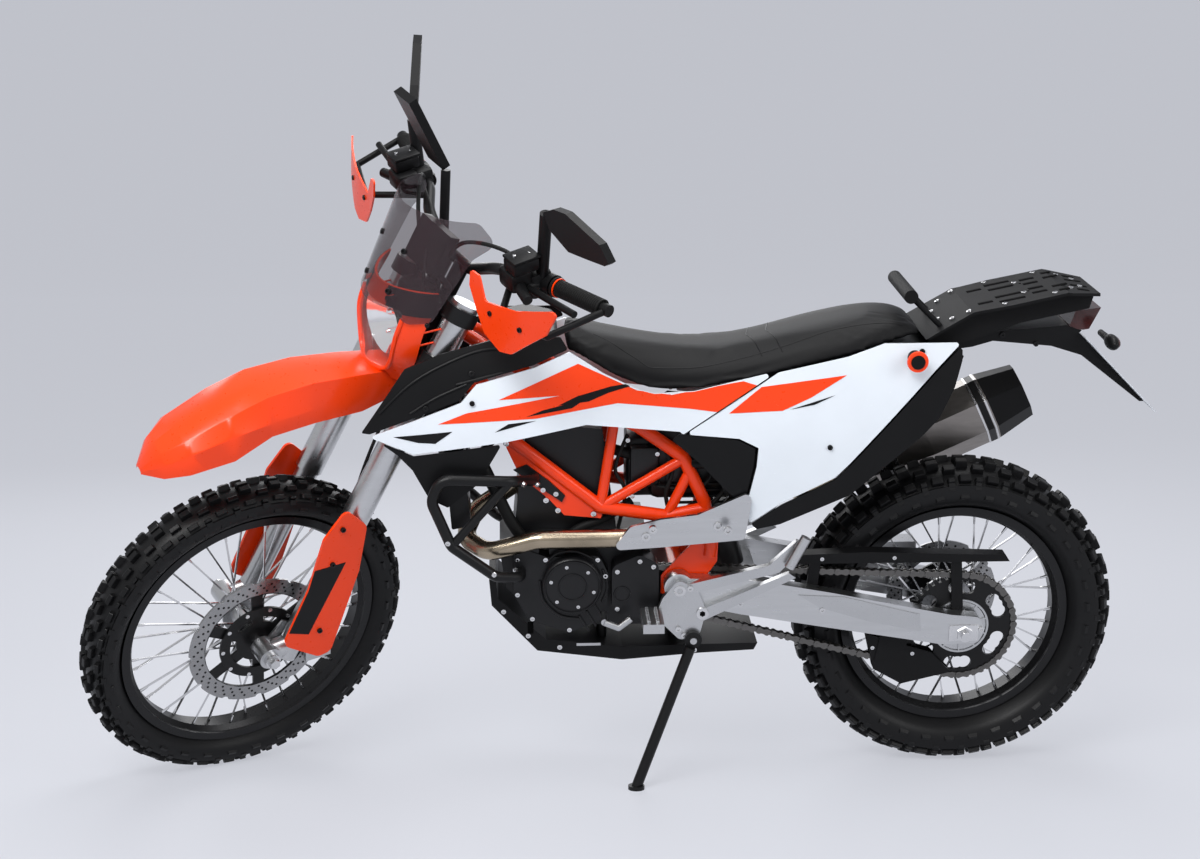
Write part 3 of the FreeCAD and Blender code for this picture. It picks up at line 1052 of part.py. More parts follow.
def make_fork():
    stem = rod(on_fork(LOW_CLAMP), on_fork(FORK_LENGTH + CLAMP_THICKNESS), STEM_RADIUS)
    pieces = [stem]
    ring = FORK_TUBE_RADIUS * 1.25
    for along in (LOW_CLAMP, FORK_LENGTH):
        bridge = [on_fork(along, FORK_SPREAD * y, ring * x)
                  for x, y in ((0.25, -0.95), (0.25, 0.95), (0.9, 0.95), (0.7, 0), (0.9, -0.95))]
        pieces.append(prism(bridge, STEM_DIR * CLAMP_THICKNESS))
        for side, ahead, radius in ((FORK_SPREAD, CLAMP_AHEAD, ring), (0, 0, CLAMP_BOSS_RADIUS),
                                    (-FORK_SPREAD, CLAMP_AHEAD, ring)):
            foot = on_fork(along, side, ahead)
            pieces.append(rod(foot, foot + STEM_DIR * CLAMP_THICKNESS, radius))
    clamps = fuse(pieces)
    tubes = []
    legs = []
    for side in (FORK_SPREAD, -FORK_SPREAD):
        foot = on_fork(TUBE_END, side, CLAMP_AHEAD)
        top = on_fork(FORK_LENGTH + CLAMP_THICKNESS * 1.3, side, CLAMP_AHEAD)
        tubes.append(rod(foot, top, FORK_TUBE_RADIUS))
        leg = rod(on_fork(0, side, CLAMP_AHEAD), foot - STEM_DIR * REST_GAP, FORK_LEG_RADIUS)
        lug = rod(Vector(FRONT_AXLE.x, side - FORK_LEG_RADIUS, FRONT_AXLE.z),
                  Vector(FRONT_AXLE.x, side + FORK_LEG_RADIUS, FRONT_AXLE.z), FORK_LEG_RADIUS)
        web = rod(Vector(FRONT_AXLE.x, side, FRONT_AXLE.z),
                  on_fork(FORK_TUBE_RADIUS, side, CLAMP_AHEAD), FORK_LEG_RADIUS * 0.9)
        bore = cylinder_across(FRONT_AXLE, AXLE_RADIUS + AXLE_FIT, side - PAST * 2,
                               side + PAST * 2)
        legs.append(fuse([leg, lug, web]).cut(bore))
        clamps = clamps.cut(rod(foot, top + STEM_DIR * PAST, FORK_TUBE_RADIUS + REST_GAP / 2))
    bar = bar_spots(BAR_SHARES, 1)[0]
    for side in (FORK_TUBE_RADIUS, -FORK_TUBE_RADIUS):
        top = bar + LEFT * side
        riser = rod(on_fork(FORK_LENGTH + CLAMP_THICKNESS - REST_GAP, side, 0), top,
                    BAR_RADIUS * 1.4)
        clamps = clamps.fuse(riser)
    clamps = clamps.cut(rod(bar - LEFT * FORK_SPREAD, bar + LEFT * FORK_SPREAD,
                            BAR_RADIUS + REST_GAP)).removeSplitter()
    keep("fork_clamps", clamps, True)
    keep("fork_tubes", tubes, True)
    keep("fork_legs", legs, True)
    keep("front_axle", cylinder_across(FRONT_AXLE, AXLE_RADIUS, -AXLE_END, AXLE_END), True)
    low = FORK_SPREAD + FORK_TUBE_RADIUS + REST_GAP
    guard = soft_slab(fork_end_at(GUARD_FORM_SHARES), PAST, low, low + PANEL_WALL * 1.5)
    bosses = []
    for along in GUARD_BOSS_SHARES:
        spot = on_fork(along * FORK_LENGTH, 0, CLAMP_AHEAD)
        bosses.append(cylinder_across(spot, LEVER_RADIUS, FORK_SPREAD, low + PANEL_WALL / 2))
    guard = fuse([guard] + bosses).cut(rod(on_fork(0, FORK_SPREAD, CLAMP_AHEAD),
                                           on_fork(FORK_LENGTH, FORK_SPREAD, CLAMP_AHEAD),
                                           FORK_LEG_RADIUS + REST_GAP))
    keep("fork_guards", both(guard), True)
    brake_low = FRONT_DISC_SIDE - COVER_DEPTH * 0.6
    spot = FRONT_AXLE + Vector(-FRONT_DISC_RADIUS * 1.05, 0, -FRONT_DISC_RADIUS * 0.55)
    caliper = Part.makeBox(COVER_DEPTH * 1.5, COVER_DEPTH * 1.1, COVER_DEPTH * 2.4,
                           Vector(spot.x, brake_low, spot.z))
    slot_half = DISC_THICKNESS / 2 + BRAKE_CLEARANCE
    slot = cylinder_across(FRONT_AXLE, FRONT_DISC_RADIUS + BRAKE_CLEARANCE,
                           FRONT_DISC_SIDE - slot_half, FRONT_DISC_SIDE + slot_half)
    stay_high = FORK_SPREAD - FORK_LEG_RADIUS - REST_GAP
    spots = [FRONT_AXLE + Vector(x, 0, z) * FRONT_DISC_RADIUS for x, z in BRAKE_STAY_SHARES]
    stay = slab(spots, stay_high - PLATE_WALL, stay_high)
    keep("front_caliper", fuse([caliper.cut(slot), stay]), True)


# Front fender: top ridge, flat top, side crease and edge at each station from the front axle
# x, ridge z, flat-top side, flat-top z, crease side, crease z, edge side, edge z
FENDER_SHARES = [(0.264, 0.575, 0.10, 0.573, 0.15, 0.568, 0.15, 0.560),
                 (0.225, 0.630, 0.42, 0.622, 0.62, 0.598, 0.64, 0.566),
                 (0.170, 0.664, 0.62, 0.656, 0.90, 0.632, 0.92, 0.578),
                 (0.060, 0.708, 0.70, 0.700, 1.00, 0.660, 1.00, 0.592),
                 (-0.040, 0.735, 0.70, 0.728, 0.94, 0.668, 0.92, 0.630),
                 (-0.160, 0.742, 0.66, 0.735, 0.80, 0.668, 0.78, 0.628),
                 (-0.290, 0.730, 0.60, 0.722, 0.72, 0.664, 0.70, 0.622),
                 (-0.400, 0.712, 0.52, 0.706, 0.60, 0.670, 0.58, 0.640),
                 (-0.450, 0.700, 0.46, 0.695, 0.52, 0.670, 0.50, 0.650)]
FENDER_HALF_WIDTH = 82.0
FENDER_BOSS_RADIUS = 10.0


def fender_room():
    """The fender with all that lies under it, grown by a gap, for what has to clear it."""
    wires = []
    for x, ridge, flat, flat_z, crease, crease_z, edge, edge_z in FENDER_SHARES[3:]:
        half = [(0, ridge), (flat, flat_z), (crease, crease_z), (edge, edge_z), (edge, 0.4)]
        spots = [Vector(WHEELBASE + x * FORK_LENGTH, side * (FENDER_HALF_WIDTH + REST_GAP * 2),
                        FRONT_RADIUS + z * FORK_LENGTH + REST_GAP * 2) for side, z in half]
        wires.append(polygon([Vector(p.x, -p.y, p.z) for p in reversed(spots[1:])] + spots))
    return loft(wires, True)


def make_fender():
    wires = []
    for x, ridge, flat, flat_z, crease, crease_z, edge, edge_z in FENDER_SHARES:
        half = [(0, ridge), (flat, flat_z), (crease, crease_z), (edge, edge_z)]
        spots = [Vector(WHEELBASE + x * FORK_LENGTH, side * FENDER_HALF_WIDTH,
                        FRONT_RADIUS + z * FORK_LENGTH) for side, z in half]
        outer = [Vector(p.x, -p.y, p.z) for p in reversed(spots[1:])] + spots
        inner = [Vector(p.x, p.y * 0.93, p.z - PANEL_WALL) for p in outer[1:-1]]
        ends = [Vector(p.x, p.y * 0.95, p.z) for p in (outer[0], outer[-1])]
        wires.append(polygon(outer + [ends[1]] + list(reversed(inner)) + [ends[0]]))
    top = LOW_CLAMP - REST_GAP
    side = FORK_TUBE_RADIUS
    bosses = [rod(on_fork(top - PAST * 2, y, PAST), on_fork(top, y, PAST), FENDER_BOSS_RADIUS)
              for y in (side, -side)]
    keep("front_fender", fuse([loft(wires, True)] + bosses), True)


# Headlight mask, lens and screen
# height, nose, back, half width at the back, half width of the face
MASK_SHARES = [(0.690, -0.352, -0.395, 0.60, 0.42), (0.735, -0.332, -0.402, 0.80, 0.60),
               (0.790, -0.324, -0.408, 0.94, 0.74), (0.850, -0.330, -0.420, 0.98, 0.78),
               (0.905, -0.350, -0.448, 0.98, 0.78), (0.945, -0.366, -0.462, 0.92, 0.72)]
MASK_HALF_WIDTH = 112.0
MASK_CHEEK_SHARE = 0.55
MASK_CLIP_SHARES = [(0.815, -0.413, 0.96), (0.850, -0.420, 0.98)]
LENS_SHARES = [(0.42, 0.728), (0.58, 0.760), (0.68, 0.830), (0.70, 0.882), (0.64, 0.898)]
LENS_DEPTH = 14.0


def mask_wall(inset, wall):
    wires = []
    for z, nose, back, wide, face in MASK_SHARES:
        height = FRONT_RADIUS + z * FORK_LENGTH
        front = WHEELBASE + nose * FORK_LENGTH - inset
        rear = WHEELBASE + back * FORK_LENGTH
        side = wide * MASK_HALF_WIDTH - inset
        cheek = face * MASK_HALF_WIDTH - inset
        mid = front - (front - rear) * MASK_CHEEK_SHARE
        outer = [(rear, -side), (mid, -cheek), (front, 0), (mid, cheek), (rear, side)]
        inner = [(rear, side - wall), (mid - wall, cheek - wall), (front - wall, 0),
                 (mid - wall, -cheek + wall), (rear, -side + wall)]
        a = [Vector(x, y, height) for x, y in outer]
        b = [Vector(x, y, height) for x, y in inner]
        wires.append(Part.Wire([curve(a), Part.makeLine(a[-1], b[0]), curve(b),
                                Part.makeLine(b[-1], a[0])]))
    return loft(wires)


def mask_inside():
    """The room inside the mask's wall."""
    return mask_solid(-PANEL_WALL / 2)


def mask_solid(grow):
    """All that lies inside the mask's outer face, for what has to clear it."""
    wires = []
    for z, nose, back, wide, face in MASK_SHARES:
        height = FRONT_RADIUS + z * FORK_LENGTH
        front = WHEELBASE + nose * FORK_LENGTH + grow
        rear = WHEELBASE + back * FORK_LENGTH
        side = wide * MASK_HALF_WIDTH + grow
        cheek = face * MASK_HALF_WIDTH + grow
        mid = front - (front - rear) * MASK_CHEEK_SHARE
        points = [Vector(x, y, height) for x, y in ((rear, -side), (mid, -cheek), (front, 0),
                                                    (mid, cheek), (rear, side))]
        wires.append(Part.Wire([curve(points), Part.makeLine(points[-1], points[0])]))
    return loft(wires)


def lens_cutter(grow):
    right = [Vector(WHEELBASE - FORK_LENGTH * 0.44, y * MASK_HALF_WIDTH + grow,
                    FRONT_RADIUS + z * FORK_LENGTH) for y, z in LENS_SHARES]
    right[0].z -= grow
    right[-1].z += grow
    points = right + [Vector(p.x, -p.y, p.z) for p in reversed(right)]
    path = soft_outline(points, PAST)
    return Part.Face(path).extrude(AHEAD * FORK_LENGTH * 0.3)


SCREEN_FOOT_SHARES = (-0.336, 0.912)
SCREEN_TOP_SHARES = (-0.424, 1.132)
SCREEN_SIDE_SHARES = [(0.0, 0.0), (0.45, -0.022), (0.67, -0.050), (0.85, -0.105), (1.0, -0.165)]
SCREEN_HALF_WIDTH = 135.0
SCREEN_WALL = 3.0
SCREEN_POST_SHARES = [(0.42, 0.922)]
SCREEN_POST_RADIUS = 5.0
SCREEN_CUT_SHARES = [(-0.300, 0.896), (-0.362, 0.903), (-0.376, 0.874), (-0.436, 0.878),
                     (-0.534, 1.036), (-0.590, 1.073), (-0.552, 1.128), (-0.430, 1.138),
                     (-0.340, 1.150)]


def make_mask():
    wall = mask_wall(0, PANEL_WALL)
    clips = []
    for z, back, wide in MASK_CLIP_SHARES:
        side = wide * MASK_HALF_WIDTH - PANEL_WALL / 2
        start = FRONT_AXLE + Vector((back + 0.004) * FORK_LENGTH, side, z * FORK_LENGTH)
        clip = rod(start, start - AHEAD * FORK_TUBE_RADIUS * 3, PANEL_WALL / 2)
        clip = clip.cut(rod(on_fork(TUBE_END, FORK_SPREAD, CLAMP_AHEAD),
                            on_fork(FORK_LENGTH, FORK_SPREAD, CLAMP_AHEAD),
                            FORK_TUBE_RADIUS + REST_GAP))
        clips += both(max(clip.Solids, key=lambda solid: solid.CenterOfMass.x))
    mask = wall.cut(lens_cutter(0)).cut(fender_room())
    lens = mask_wall(REST_GAP, LENS_DEPTH).common(lens_cutter(-REST_GAP))
    keep("headlight_lens", lens, True)
    foot, top = fork_end_at([SCREEN_FOOT_SHARES, SCREEN_TOP_SHARES])
    up = (top - foot).normalize()
    out = Vector(up.z, 0, -up.x)
    foot = foot - up * FORK_LENGTH * 0.2
    line = [foot + out * (back * FORK_LENGTH) + LEFT * (y * SCREEN_HALF_WIDTH)
            for y, back in SCREEN_SIDE_SHARES]
    front = [Vector(p.x, -p.y, p.z) for p in reversed(line[1:])] + line
    rear = [p - out * SCREEN_WALL for p in front]
    band = Part.Wire([curve(front), Part.makeLine(front[-1], rear[-1]),
                      curve(list(reversed(rear))), Part.makeLine(rear[0], front[0])])
    sheet = Part.Face(band).extrude(up * FORK_LENGTH * 0.8)
    cutter = soft_slab(fork_end_at(SCREEN_CUT_SHARES), PAST, -BODY_HALF_WIDTH, BODY_HALF_WIDTH)
    screen = sheet.common(cutter).cut(mask_solid(REST_GAP))
    keep("windscreen", screen, True)
    posts = []
    for y, z in SCREEN_POST_SHARES:
        start = FRONT_AXLE + Vector(SCREEN_FOOT_SHARES[0] * FORK_LENGTH, y * MASK_HALF_WIDTH,
                                    z * FORK_LENGTH)
        post = rod(start - AHEAD * FORK_LENGTH * 0.1, start + AHEAD * FORK_LENGTH * 0.1,
                   SCREEN_POST_RADIUS).cut(mask_inside()).cut(screen)
        posts.append(min(post.Solids, key=lambda solid: solid.CenterOfMass.x))
        posts.append(mirrored(posts[-1]))
    keep("headlight_mask", fuse([mask] + clips + posts), True)


# Bars and what they carry: ahead, up and out from the front axle
BAR_SHARES = [(-0.578, 0.960, 0.0), (-0.578, 0.960, 0.14), (-0.590, 1.010, 0.34),
              (-0.635, 1.024, 0.50), (-0.690, 1.046, 1.0)]
SHIELD_LOW_SHARE = 0.88
SHIELD_PLAN_SHARES = [(-0.472, 0.49), (-0.484, 0.60), (-0.494, 0.74), (-0.510, 0.88),
                      (-0.552, 1.06)]
SHIELD_FORM_SHARES = [(0.50, 1.072), (0.56, 1.068), (0.61, 1.012), (0.82, 1.036), (1.05, 1.084),
                      (1.00, 1.010), (0.82, 0.920), (0.74, 0.908), (0.62, 0.928), (0.555, 0.976),
                      (0.50, 1.030)]
BACKBONE_SHARES = [(-0.546, 1.000, 0.98), (-0.503, 0.985, 0.70)]
HOUSING_RADIUS = 22.0
MIRROR_SHARES = [(0.0, 0.05), (0.15, 0.24), (0.33, 0.30), (0.85, 0.10), (1.0, -0.16), (0.95, -0.26),
                 (0.70, -0.35), (0.42, -0.44), (0.12, -0.23)]
MIRROR_LENGTH = 190.0
MIRROR_DEPTH = 18.0
MIRROR_ARM_SHARES = {1: [(-0.638, 1.030, 0.615), (-0.621, 1.226, 0.66)],
                     -1: [(-0.638, 1.030, 0.615), (-0.628, 1.180, 0.68)]}
MIRROR_TURN_SHARES = {1: [(-0.14, 1.0, 0.0), (1.0, 0.14, 0.0)],
                      -1: [(-0.35, 0.60, 0.72), (0.86, 0.50, 0.0)]}
CLAMP_SPOT_SHARES = (-0.629, 1.0216, 0.445)
DASH_SHARES = [(-0.470, 0.960), (-0.520, 1.060), (-0.545, 1.050), (-0.500, 0.950)]
DASH_STAY_SHARES = (-0.490, 0.965)
HOLDER_STAY_SHARES = (-0.595, 1.150, -0.20)
HOLDER_CLAMP_SHARES = (-0.578, 0.960, -0.13)
HOLDER_SHARES = [(-0.506, 1.353), (-0.607, 1.160), (-0.588, 1.150), (-0.486, 1.343)]


def bar_spots(shares, side):
    return [FRONT_AXLE + Vector(x * FORK_LENGTH, side * y * BAR_HALF_LENGTH, z * FORK_LENGTH)
            for x, z, y in shares]


def make_bars():
    left = bar_spots(BAR_SHARES, 1)
    right = bar_spots(BAR_SHARES, -1)
    path = list(reversed(right[1:])) + left[1:]
    keep("handlebar", bent_tube(path, BAR_RADIUS, BAR_RADIUS * 5), True)
    bar_room = bent_tube(path, BAR_RADIUS + REST_GAP, BAR_RADIUS * 5)
    grips = []
    controls = []
    housings = []
    for ends in (left, right):
        inward = (ends[-2] - ends[-1]).normalize()
        start = ends[-1] + inward * PANEL_WALL
        stop = start + inward * GRIP_LENGTH
        hole = rod(start - inward * PAST, stop + inward * PAST * 4, BAR_RADIUS + REST_GAP)
        grips.append(rod(start, stop, GRIP_RADIUS).cut(hole))
        box_start = stop + inward * SEAM
        box_end = stop + inward * GRIP_RADIUS * 3
        housing = rod(box_start, box_end, HOUSING_RADIUS)
        pivot = (box_start + box_end) * 0.5 + AHEAD * GRIP_RADIUS * 2.6
        lever_end = start + AHEAD * GRIP_RADIUS * 3.6
        perch = rod((box_start + box_end) * 0.5, pivot, LEVER_RADIUS * 1.6)
        housings.append(fuse([rod(box_start, box_end, HOUSING_RADIUS + REST_GAP),
                              rod(ends[-1], stop, GRIP_RADIUS + REST_GAP),
                              rod((box_start + box_end) * 0.5, pivot + AHEAD * REST_GAP,
                                  LEVER_RADIUS * 1.6 + REST_GAP)]))
        lever = tube_run([pivot - AHEAD * LEVER_RADIUS, pivot, lever_end], LEVER_RADIUS)
        controls.append(fuse([housing, perch, lever]).cut(hole))
    keep("grips", grips, True)
    keep("controls", controls, True)
    guards = []
    struts = []
    mirrors = []
    for side, housing in zip((1, -1), housings):
        plan = bar_spots([(x, SHIELD_LOW_SHARE, y) for x, y in SHIELD_PLAN_SHARES], side)
        inner = [p - AHEAD * PANEL_WALL for p in plan]
        band = Part.Wire([curve(plan), Part.makeLine(plan[-1], inner[-1]),
                          curve(list(reversed(inner))), Part.makeLine(inner[0], plan[0])])
        wall = Part.Face(band).extrude(UP * FORK_LENGTH * 0.3)
        front = bar_spots([(-0.7, z, y) for y, z in SHIELD_FORM_SHARES], side)
        form = Part.Face(soft_outline(front, PANEL_WALL * 2)).extrude(AHEAD * FORK_LENGTH * 0.4)
        room = shield_backbone(side, REST_GAP)
        guards.append(wall.common(form).cut(room))
        struts.append(shield_backbone(side, 0.0).cut(bar_room).cut(housing))
        foot, top = bar_spots(MIRROR_ARM_SHARES[side], side)
        arm = tube_run([foot, top], BAR_RADIUS)
        out, face = [Vector(x, side * y, z) for x, y, z in MIRROR_TURN_SHARES[side]]
        rise = face.cross(out).normalize()
        if rise.z < 0:
            rise = rise * -1
        start = top - face.normalize() * (MIRROR_DEPTH / 2)
        outline = [start + out.normalize() * (x * MIRROR_LENGTH) + rise * (z * MIRROR_LENGTH / 2)
                   for x, z in MIRROR_SHARES]
        stub = rod(top, top + out.normalize() * (MIRROR_LENGTH * 0.25), BAR_RADIUS * 0.6)
        mirror = fuse([arm, stub, prism(outline, face.normalize() * MIRROR_DEPTH)])
        mirror = mirror.cut(housing).cut(bar_room)
        mirrors.append(max(mirror.Solids, key=lambda solid: solid.Volume))
    keep("handguards", guards, True)
    keep("handguard_struts", struts, True)
    keep("mirrors", mirrors, True)
    dash = slab(fork_end_at(DASH_SHARES), -FORK_TUBE_RADIUS * 2, FORK_TUBE_RADIUS * 2)
    spot = fork_end_at([DASH_STAY_SHARES])[0]
    clamp_top = FORK_LENGTH + CLAMP_THICKNESS + REST_GAP
    stays = [tube_run([on_fork(clamp_top, y, CLAMP_AHEAD * 3),
                       on_fork(clamp_top + LEVER_RADIUS * 2, y, CLAMP_AHEAD * 3),
                       spot + LEFT * y], LEVER_RADIUS)
             for y in (FORK_TUBE_RADIUS * 1.85, -FORK_TUBE_RADIUS * 1.85)]
    holder = slab(fork_end_at(HOLDER_SHARES), -BAR_HALF_LENGTH * 0.36, -BAR_HALF_LENGTH * 0.20)
    foot, top = bar_spots([HOLDER_CLAMP_SHARES, HOLDER_STAY_SHARES], 1)
    arm = rod(foot, top, LEVER_RADIUS * 1.4).cut(bar_room)
    keep("dash", [fuse([dash] + stays), fuse([holder, arm])], True)


def shield_backbone(side, grow):
    """The strut of a hand guard, from the bar's end to a clamp further in along the bar."""
    bar_end, inner = bar_spots([BAR_SHARES[-1], CLAMP_SPOT_SHARES], side)
    outward = (bar_end - inner).normalize()
    cap = bar_end + outward * REST_GAP
    knee, elbow = bar_spots(BACKBONE_SHARES, side)
    tip = cap + outward * LEVER_RADIUS
    strut = tube_run([tip, knee, elbow, inner + AHEAD * BAR_RADIUS], LEVER_RADIUS + grow)
    return fuse([strut, rod(cap, cap + outward * LEVER_RADIUS * 2, BAR_RADIUS)])


# Side stand

STAND_PIVOT_SHARES = (0.378, 0.351)
STAND_FOOT_SHARES = (0.457, 0.047)
STAND_FOOT_SIDE_SHARE = 1.42


STEER = Rotation(STEM_DIR, STEER_DEG)


def steered_point(point):
    return STEM_FOOT + STEER.multVec(point - STEM_FOOT)


def lean_rotation():
    """Lean to the left, with the pitch at which both tyres touch the ground."""
    pitch = 0.0
    for _ in range(4):
        lean = Rotation(AHEAD, -LEAN_DEG) * Rotation(LEFT, pitch)
        heights = []
        for axle, spin, radius, crown in (
                (REAR_AXLE, LEFT, REAR_RADIUS, REAR_CROWN_RADIUS),
                (steered_point(FRONT_AXLE), STEER.multVec(LEFT), FRONT_RADIUS,
                 FRONT_CROWN_RADIUS)):
            across = lean.multVec(spin).z
            drop = (radius - crown) * math.sqrt(1 - across ** 2) + crown
            heights.append(lean.multVec(axle).z - drop)
        pitch += math.degrees(math.atan2(heights[1] - heights[0], WHEELBASE))
    return lean, heights[0]


LEAN, GROUND = lean_rotation()
GROUND_UP = LEAN.inverted().multVec(UP)


def ground_below(point):
    """The point on the ground straight below one of the upright bike."""
    return point - GROUND_UP * ((LEAN.multVec(point).z - GROUND))


def stand_pivot():
    return body_at([STAND_PIVOT_SHARES], STAND_SIDE)[0]


def make_stand():
    pivot = stand_pivot()
    foot = body_at([STAND_FOOT_SHARES], STAND_FOOT_SIDE_SHARE * STAND_SIDE)[0]
    ground = ground_below(foot)
    pad = Part.makeCylinder(STAND_FOOT_RADIUS, STAND_FOOT_THICKNESS, ground, GROUND_UP)
    end = ground + GROUND_UP * STAND_FOOT_THICKNESS / 2
    start = pivot + (end - pivot).normalize() * STAND_TUBE_RADIUS * 1.6
    half = STAND_LUG_THICKNESS / 2
    lug = cylinder_across(pivot, STAND_TUBE_RADIUS * 1.6, pivot.y - half, pivot.y + half)
    knee = cylinder_across(start, STAND_TUBE_RADIUS, pivot.y - half, pivot.y + half)
    leg = fuse([rod(start + LEFT * (STAND_TUBE_RADIUS - half), end, STAND_TUBE_RADIUS), knee])
    bore = cylinder_across(pivot, STAND_PIN_RADIUS + AXLE_FIT, pivot.y - PAST, pivot.y + PAST)
    stand = fuse([leg.cut(leg_trim(ground)), pad, lug]).cut(bore)
    keep("side_stand", max(stand.Solids, key=lambda solid: solid.Volume))
    return ground


def leg_trim(ground):
    """What lies under the ground at the stand's foot."""
    size = STAND_FOOT_RADIUS * 4
    return Part.makeCylinder(size, size, ground - GROUND_UP * size, GROUND_UP)


def place_all():
    """Turn the steered nodes, lean the bike over and set it on the ground, centred."""
    steer = Placement(STEM_FOOT - STEER.multVec(STEM_FOOT), STEER)
    lean = Placement(ORIGIN, LEAN)
    box = FreeCAD.BoundBox()
    for name, shape in NODES.items():
        shape = shape.copy()
        if name in STEERED:
            shape.transformShape(steer.toMatrix())
        shape.transformShape(lean.toMatrix())
        NODES[name] = shape
        box.add(shape.optimalBoundingBox(False, False))
    centre = Vector(-(box.XMin + box.XMax) / 2, -(box.YMin + box.YMax) / 2, -box.ZMin)
    shift = Placement(centre, Rotation())
    for name, shape in NODES.items():
        shape.transformShape(shift.toMatrix())
    print("box", box.XLength, box.YLength, box.ZLength)
    return centre


def report_joint(name, point, direction, centre, steered=False):
    """Print a joint's place in metres and its axis, as it stands leaned over."""
    if steered:
        point = steered_point(point)
        direction = STEER.multVec(direction)
    place = (LEAN.multVec(point) + centre) * 0.001
    axis = LEAN.multVec(direction)
    print("joint", name, [round(v, 6) for v in place], [round(v, 6) for v in axis])


def main():
    make_wheels()
    keep("sprocket", make_sprocket())
    keep("chain", make_chain())
    keep("frame", make_frame())
    make_engine()
    keep("skid_plate", make_skid_plate())
    make_exhaust()
    make_bodywork()
    make_tail()
    make_swingarm()
    make_feet()
    make_front_guards()
    make_fork()
    make_fender()
    make_mask()
    make_bars()
    stand_foot = make_stand()
    centre = place_all()
    os.makedirs("parts", exist_ok=True)
    for name, shape in NODES.items():
        shape.exportStep("parts/" + name + ".step")
        print(name, "solids", len(shape.Solids), "volume", round(shape.Volume / 1000, 1),
              "valid", shape.isValid())
    report_joint("steering", STEM_FOOT + STEM_DIR * LOW_CLAMP, STEM_DIR, centre)
    report_joint("front_wheel_spin", FRONT_AXLE, LEFT, centre, True)
    report_joint("rear_wheel_spin", REAR_AXLE, LEFT, centre)
    report_joint("stand_fold", stand_pivot(), LEFT, centre)
    report_joint("stand_foot", stand_foot, GROUND_UP, centre)
    middle, normal = rack_bolt_place()
    report_joint("rack_bolts", middle, normal, centre)
    report_joint("axle_end", REAR_AXLE + LEFT * (ARM_OUTER + PLATE_WALL + AXLE_END_LENGTH / 2),
                 LEFT, centre)


main()
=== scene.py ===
# %% [markdown]
# A dual sport motorcycle stands on its side stand with the bars turned to the left stop. The
# construction comes as a fixed frame of metal and plastic parts in metres. This notebook gives
# every part its finish, and models what construction leaves out: tread, seat foam, spokes,
# chain links, bolts, graphics and lamps. The frame is loaded first.

# %% Load the frame
import bmesh
import bpy
import json
import math
from mathutils import Matrix, Vector
from mathutils.bvhtree import BVHTree


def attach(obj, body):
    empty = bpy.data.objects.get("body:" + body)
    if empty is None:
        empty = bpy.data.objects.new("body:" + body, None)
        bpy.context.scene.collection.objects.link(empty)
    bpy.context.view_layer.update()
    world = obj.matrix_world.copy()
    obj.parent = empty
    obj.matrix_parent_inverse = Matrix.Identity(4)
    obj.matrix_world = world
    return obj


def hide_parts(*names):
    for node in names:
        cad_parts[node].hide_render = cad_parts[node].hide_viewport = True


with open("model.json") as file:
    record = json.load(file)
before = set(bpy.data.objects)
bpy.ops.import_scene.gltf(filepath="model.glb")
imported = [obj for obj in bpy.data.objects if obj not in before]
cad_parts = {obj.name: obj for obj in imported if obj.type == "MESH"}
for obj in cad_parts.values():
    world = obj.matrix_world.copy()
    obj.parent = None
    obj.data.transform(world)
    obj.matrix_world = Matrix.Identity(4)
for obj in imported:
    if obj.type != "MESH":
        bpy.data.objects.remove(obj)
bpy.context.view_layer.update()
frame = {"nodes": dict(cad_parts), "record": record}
NODES = frame["nodes"]
RECORD = frame["record"]

# %% [markdown]
# The machine leans, and its front end is turned as well, so nothing on it is square to the
# floor. It is far easier to model each piece on an upright, straight motorcycle and to move it
# into place at the end. The record gives the joint axes as they stand, and from two of them
# the whole lean follows: the rear axle is the upright machine's Y, and the steering axis lies
# in its X and Z plane, tipped back by the rake.

# %% Frames of reference
RAKE = math.radians(27.7)
STEER = math.radians(33.8)
REAR_TYRE_RADIUS = 0.342
FRONT_TYRE_RADIUS = 0.353
WHEELBASE = 1.502
JOINTS = {joint["name"]: joint for joint in RECORD["behaviour"]["joints"]}


def joint_line(name):
    """A joint's point and unit axis at rest."""
    joint = JOINTS[name]
    return Vector(joint["pos_m"]), Vector(joint["axis"]).normalized()


rear_axle, LEFT = joint_line("rear_wheel_spin")
stem_point, stem = joint_line("steering")
front_axle = joint_line("front_wheel_spin")[0]
stem_ahead = LEFT.cross(stem)
AHEAD = stem_ahead * math.cos(RAKE) - stem * math.sin(RAKE)
UPRIGHT = AHEAD.cross(LEFT)


def basis(ahead, left, up, origin):
    """The matrix that takes local X, Y and Z to these directions at this origin."""
    matrix = Matrix((ahead, left, up)).transposed().to_4x4()
    matrix.translation = origin
    return matrix


BIKE = basis(AHEAD, LEFT, UPRIGHT, rear_axle - UPRIGHT * REAR_TYRE_RADIUS)
TURN = (Matrix.Translation(stem_point) @ Matrix.Rotation(STEER, 4, stem)
        @ Matrix.Translation(-stem_point))
FORK = TURN @ BIKE
REAR_WHEEL = BIKE @ Matrix.Translation((0, 0, REAR_TYRE_RADIUS))
FRONT_WHEEL = FORK @ Matrix.Translation((WHEELBASE, 0, FRONT_TYRE_RADIUS))
print("front axle error mm", round((FRONT_WHEEL.translation - front_axle).length * 1000, 3))

# %% [markdown]
# The camera stands where the picture was taken from: nearly four metres to the machine's left,
# a little ahead of the rear axle and looking slightly down. Its place, turn, tilt and lens were
# found by fitting the two wheels' ellipses and the stand's foot. The side view is nearly flat,
# so a long lens keeps both wheels round.

# %% Camera
def new_object(name, data):
    """An object with this data, in the scene."""
    thing = bpy.data.objects.new(name, data)
    bpy.context.scene.collection.objects.link(thing)
    return thing


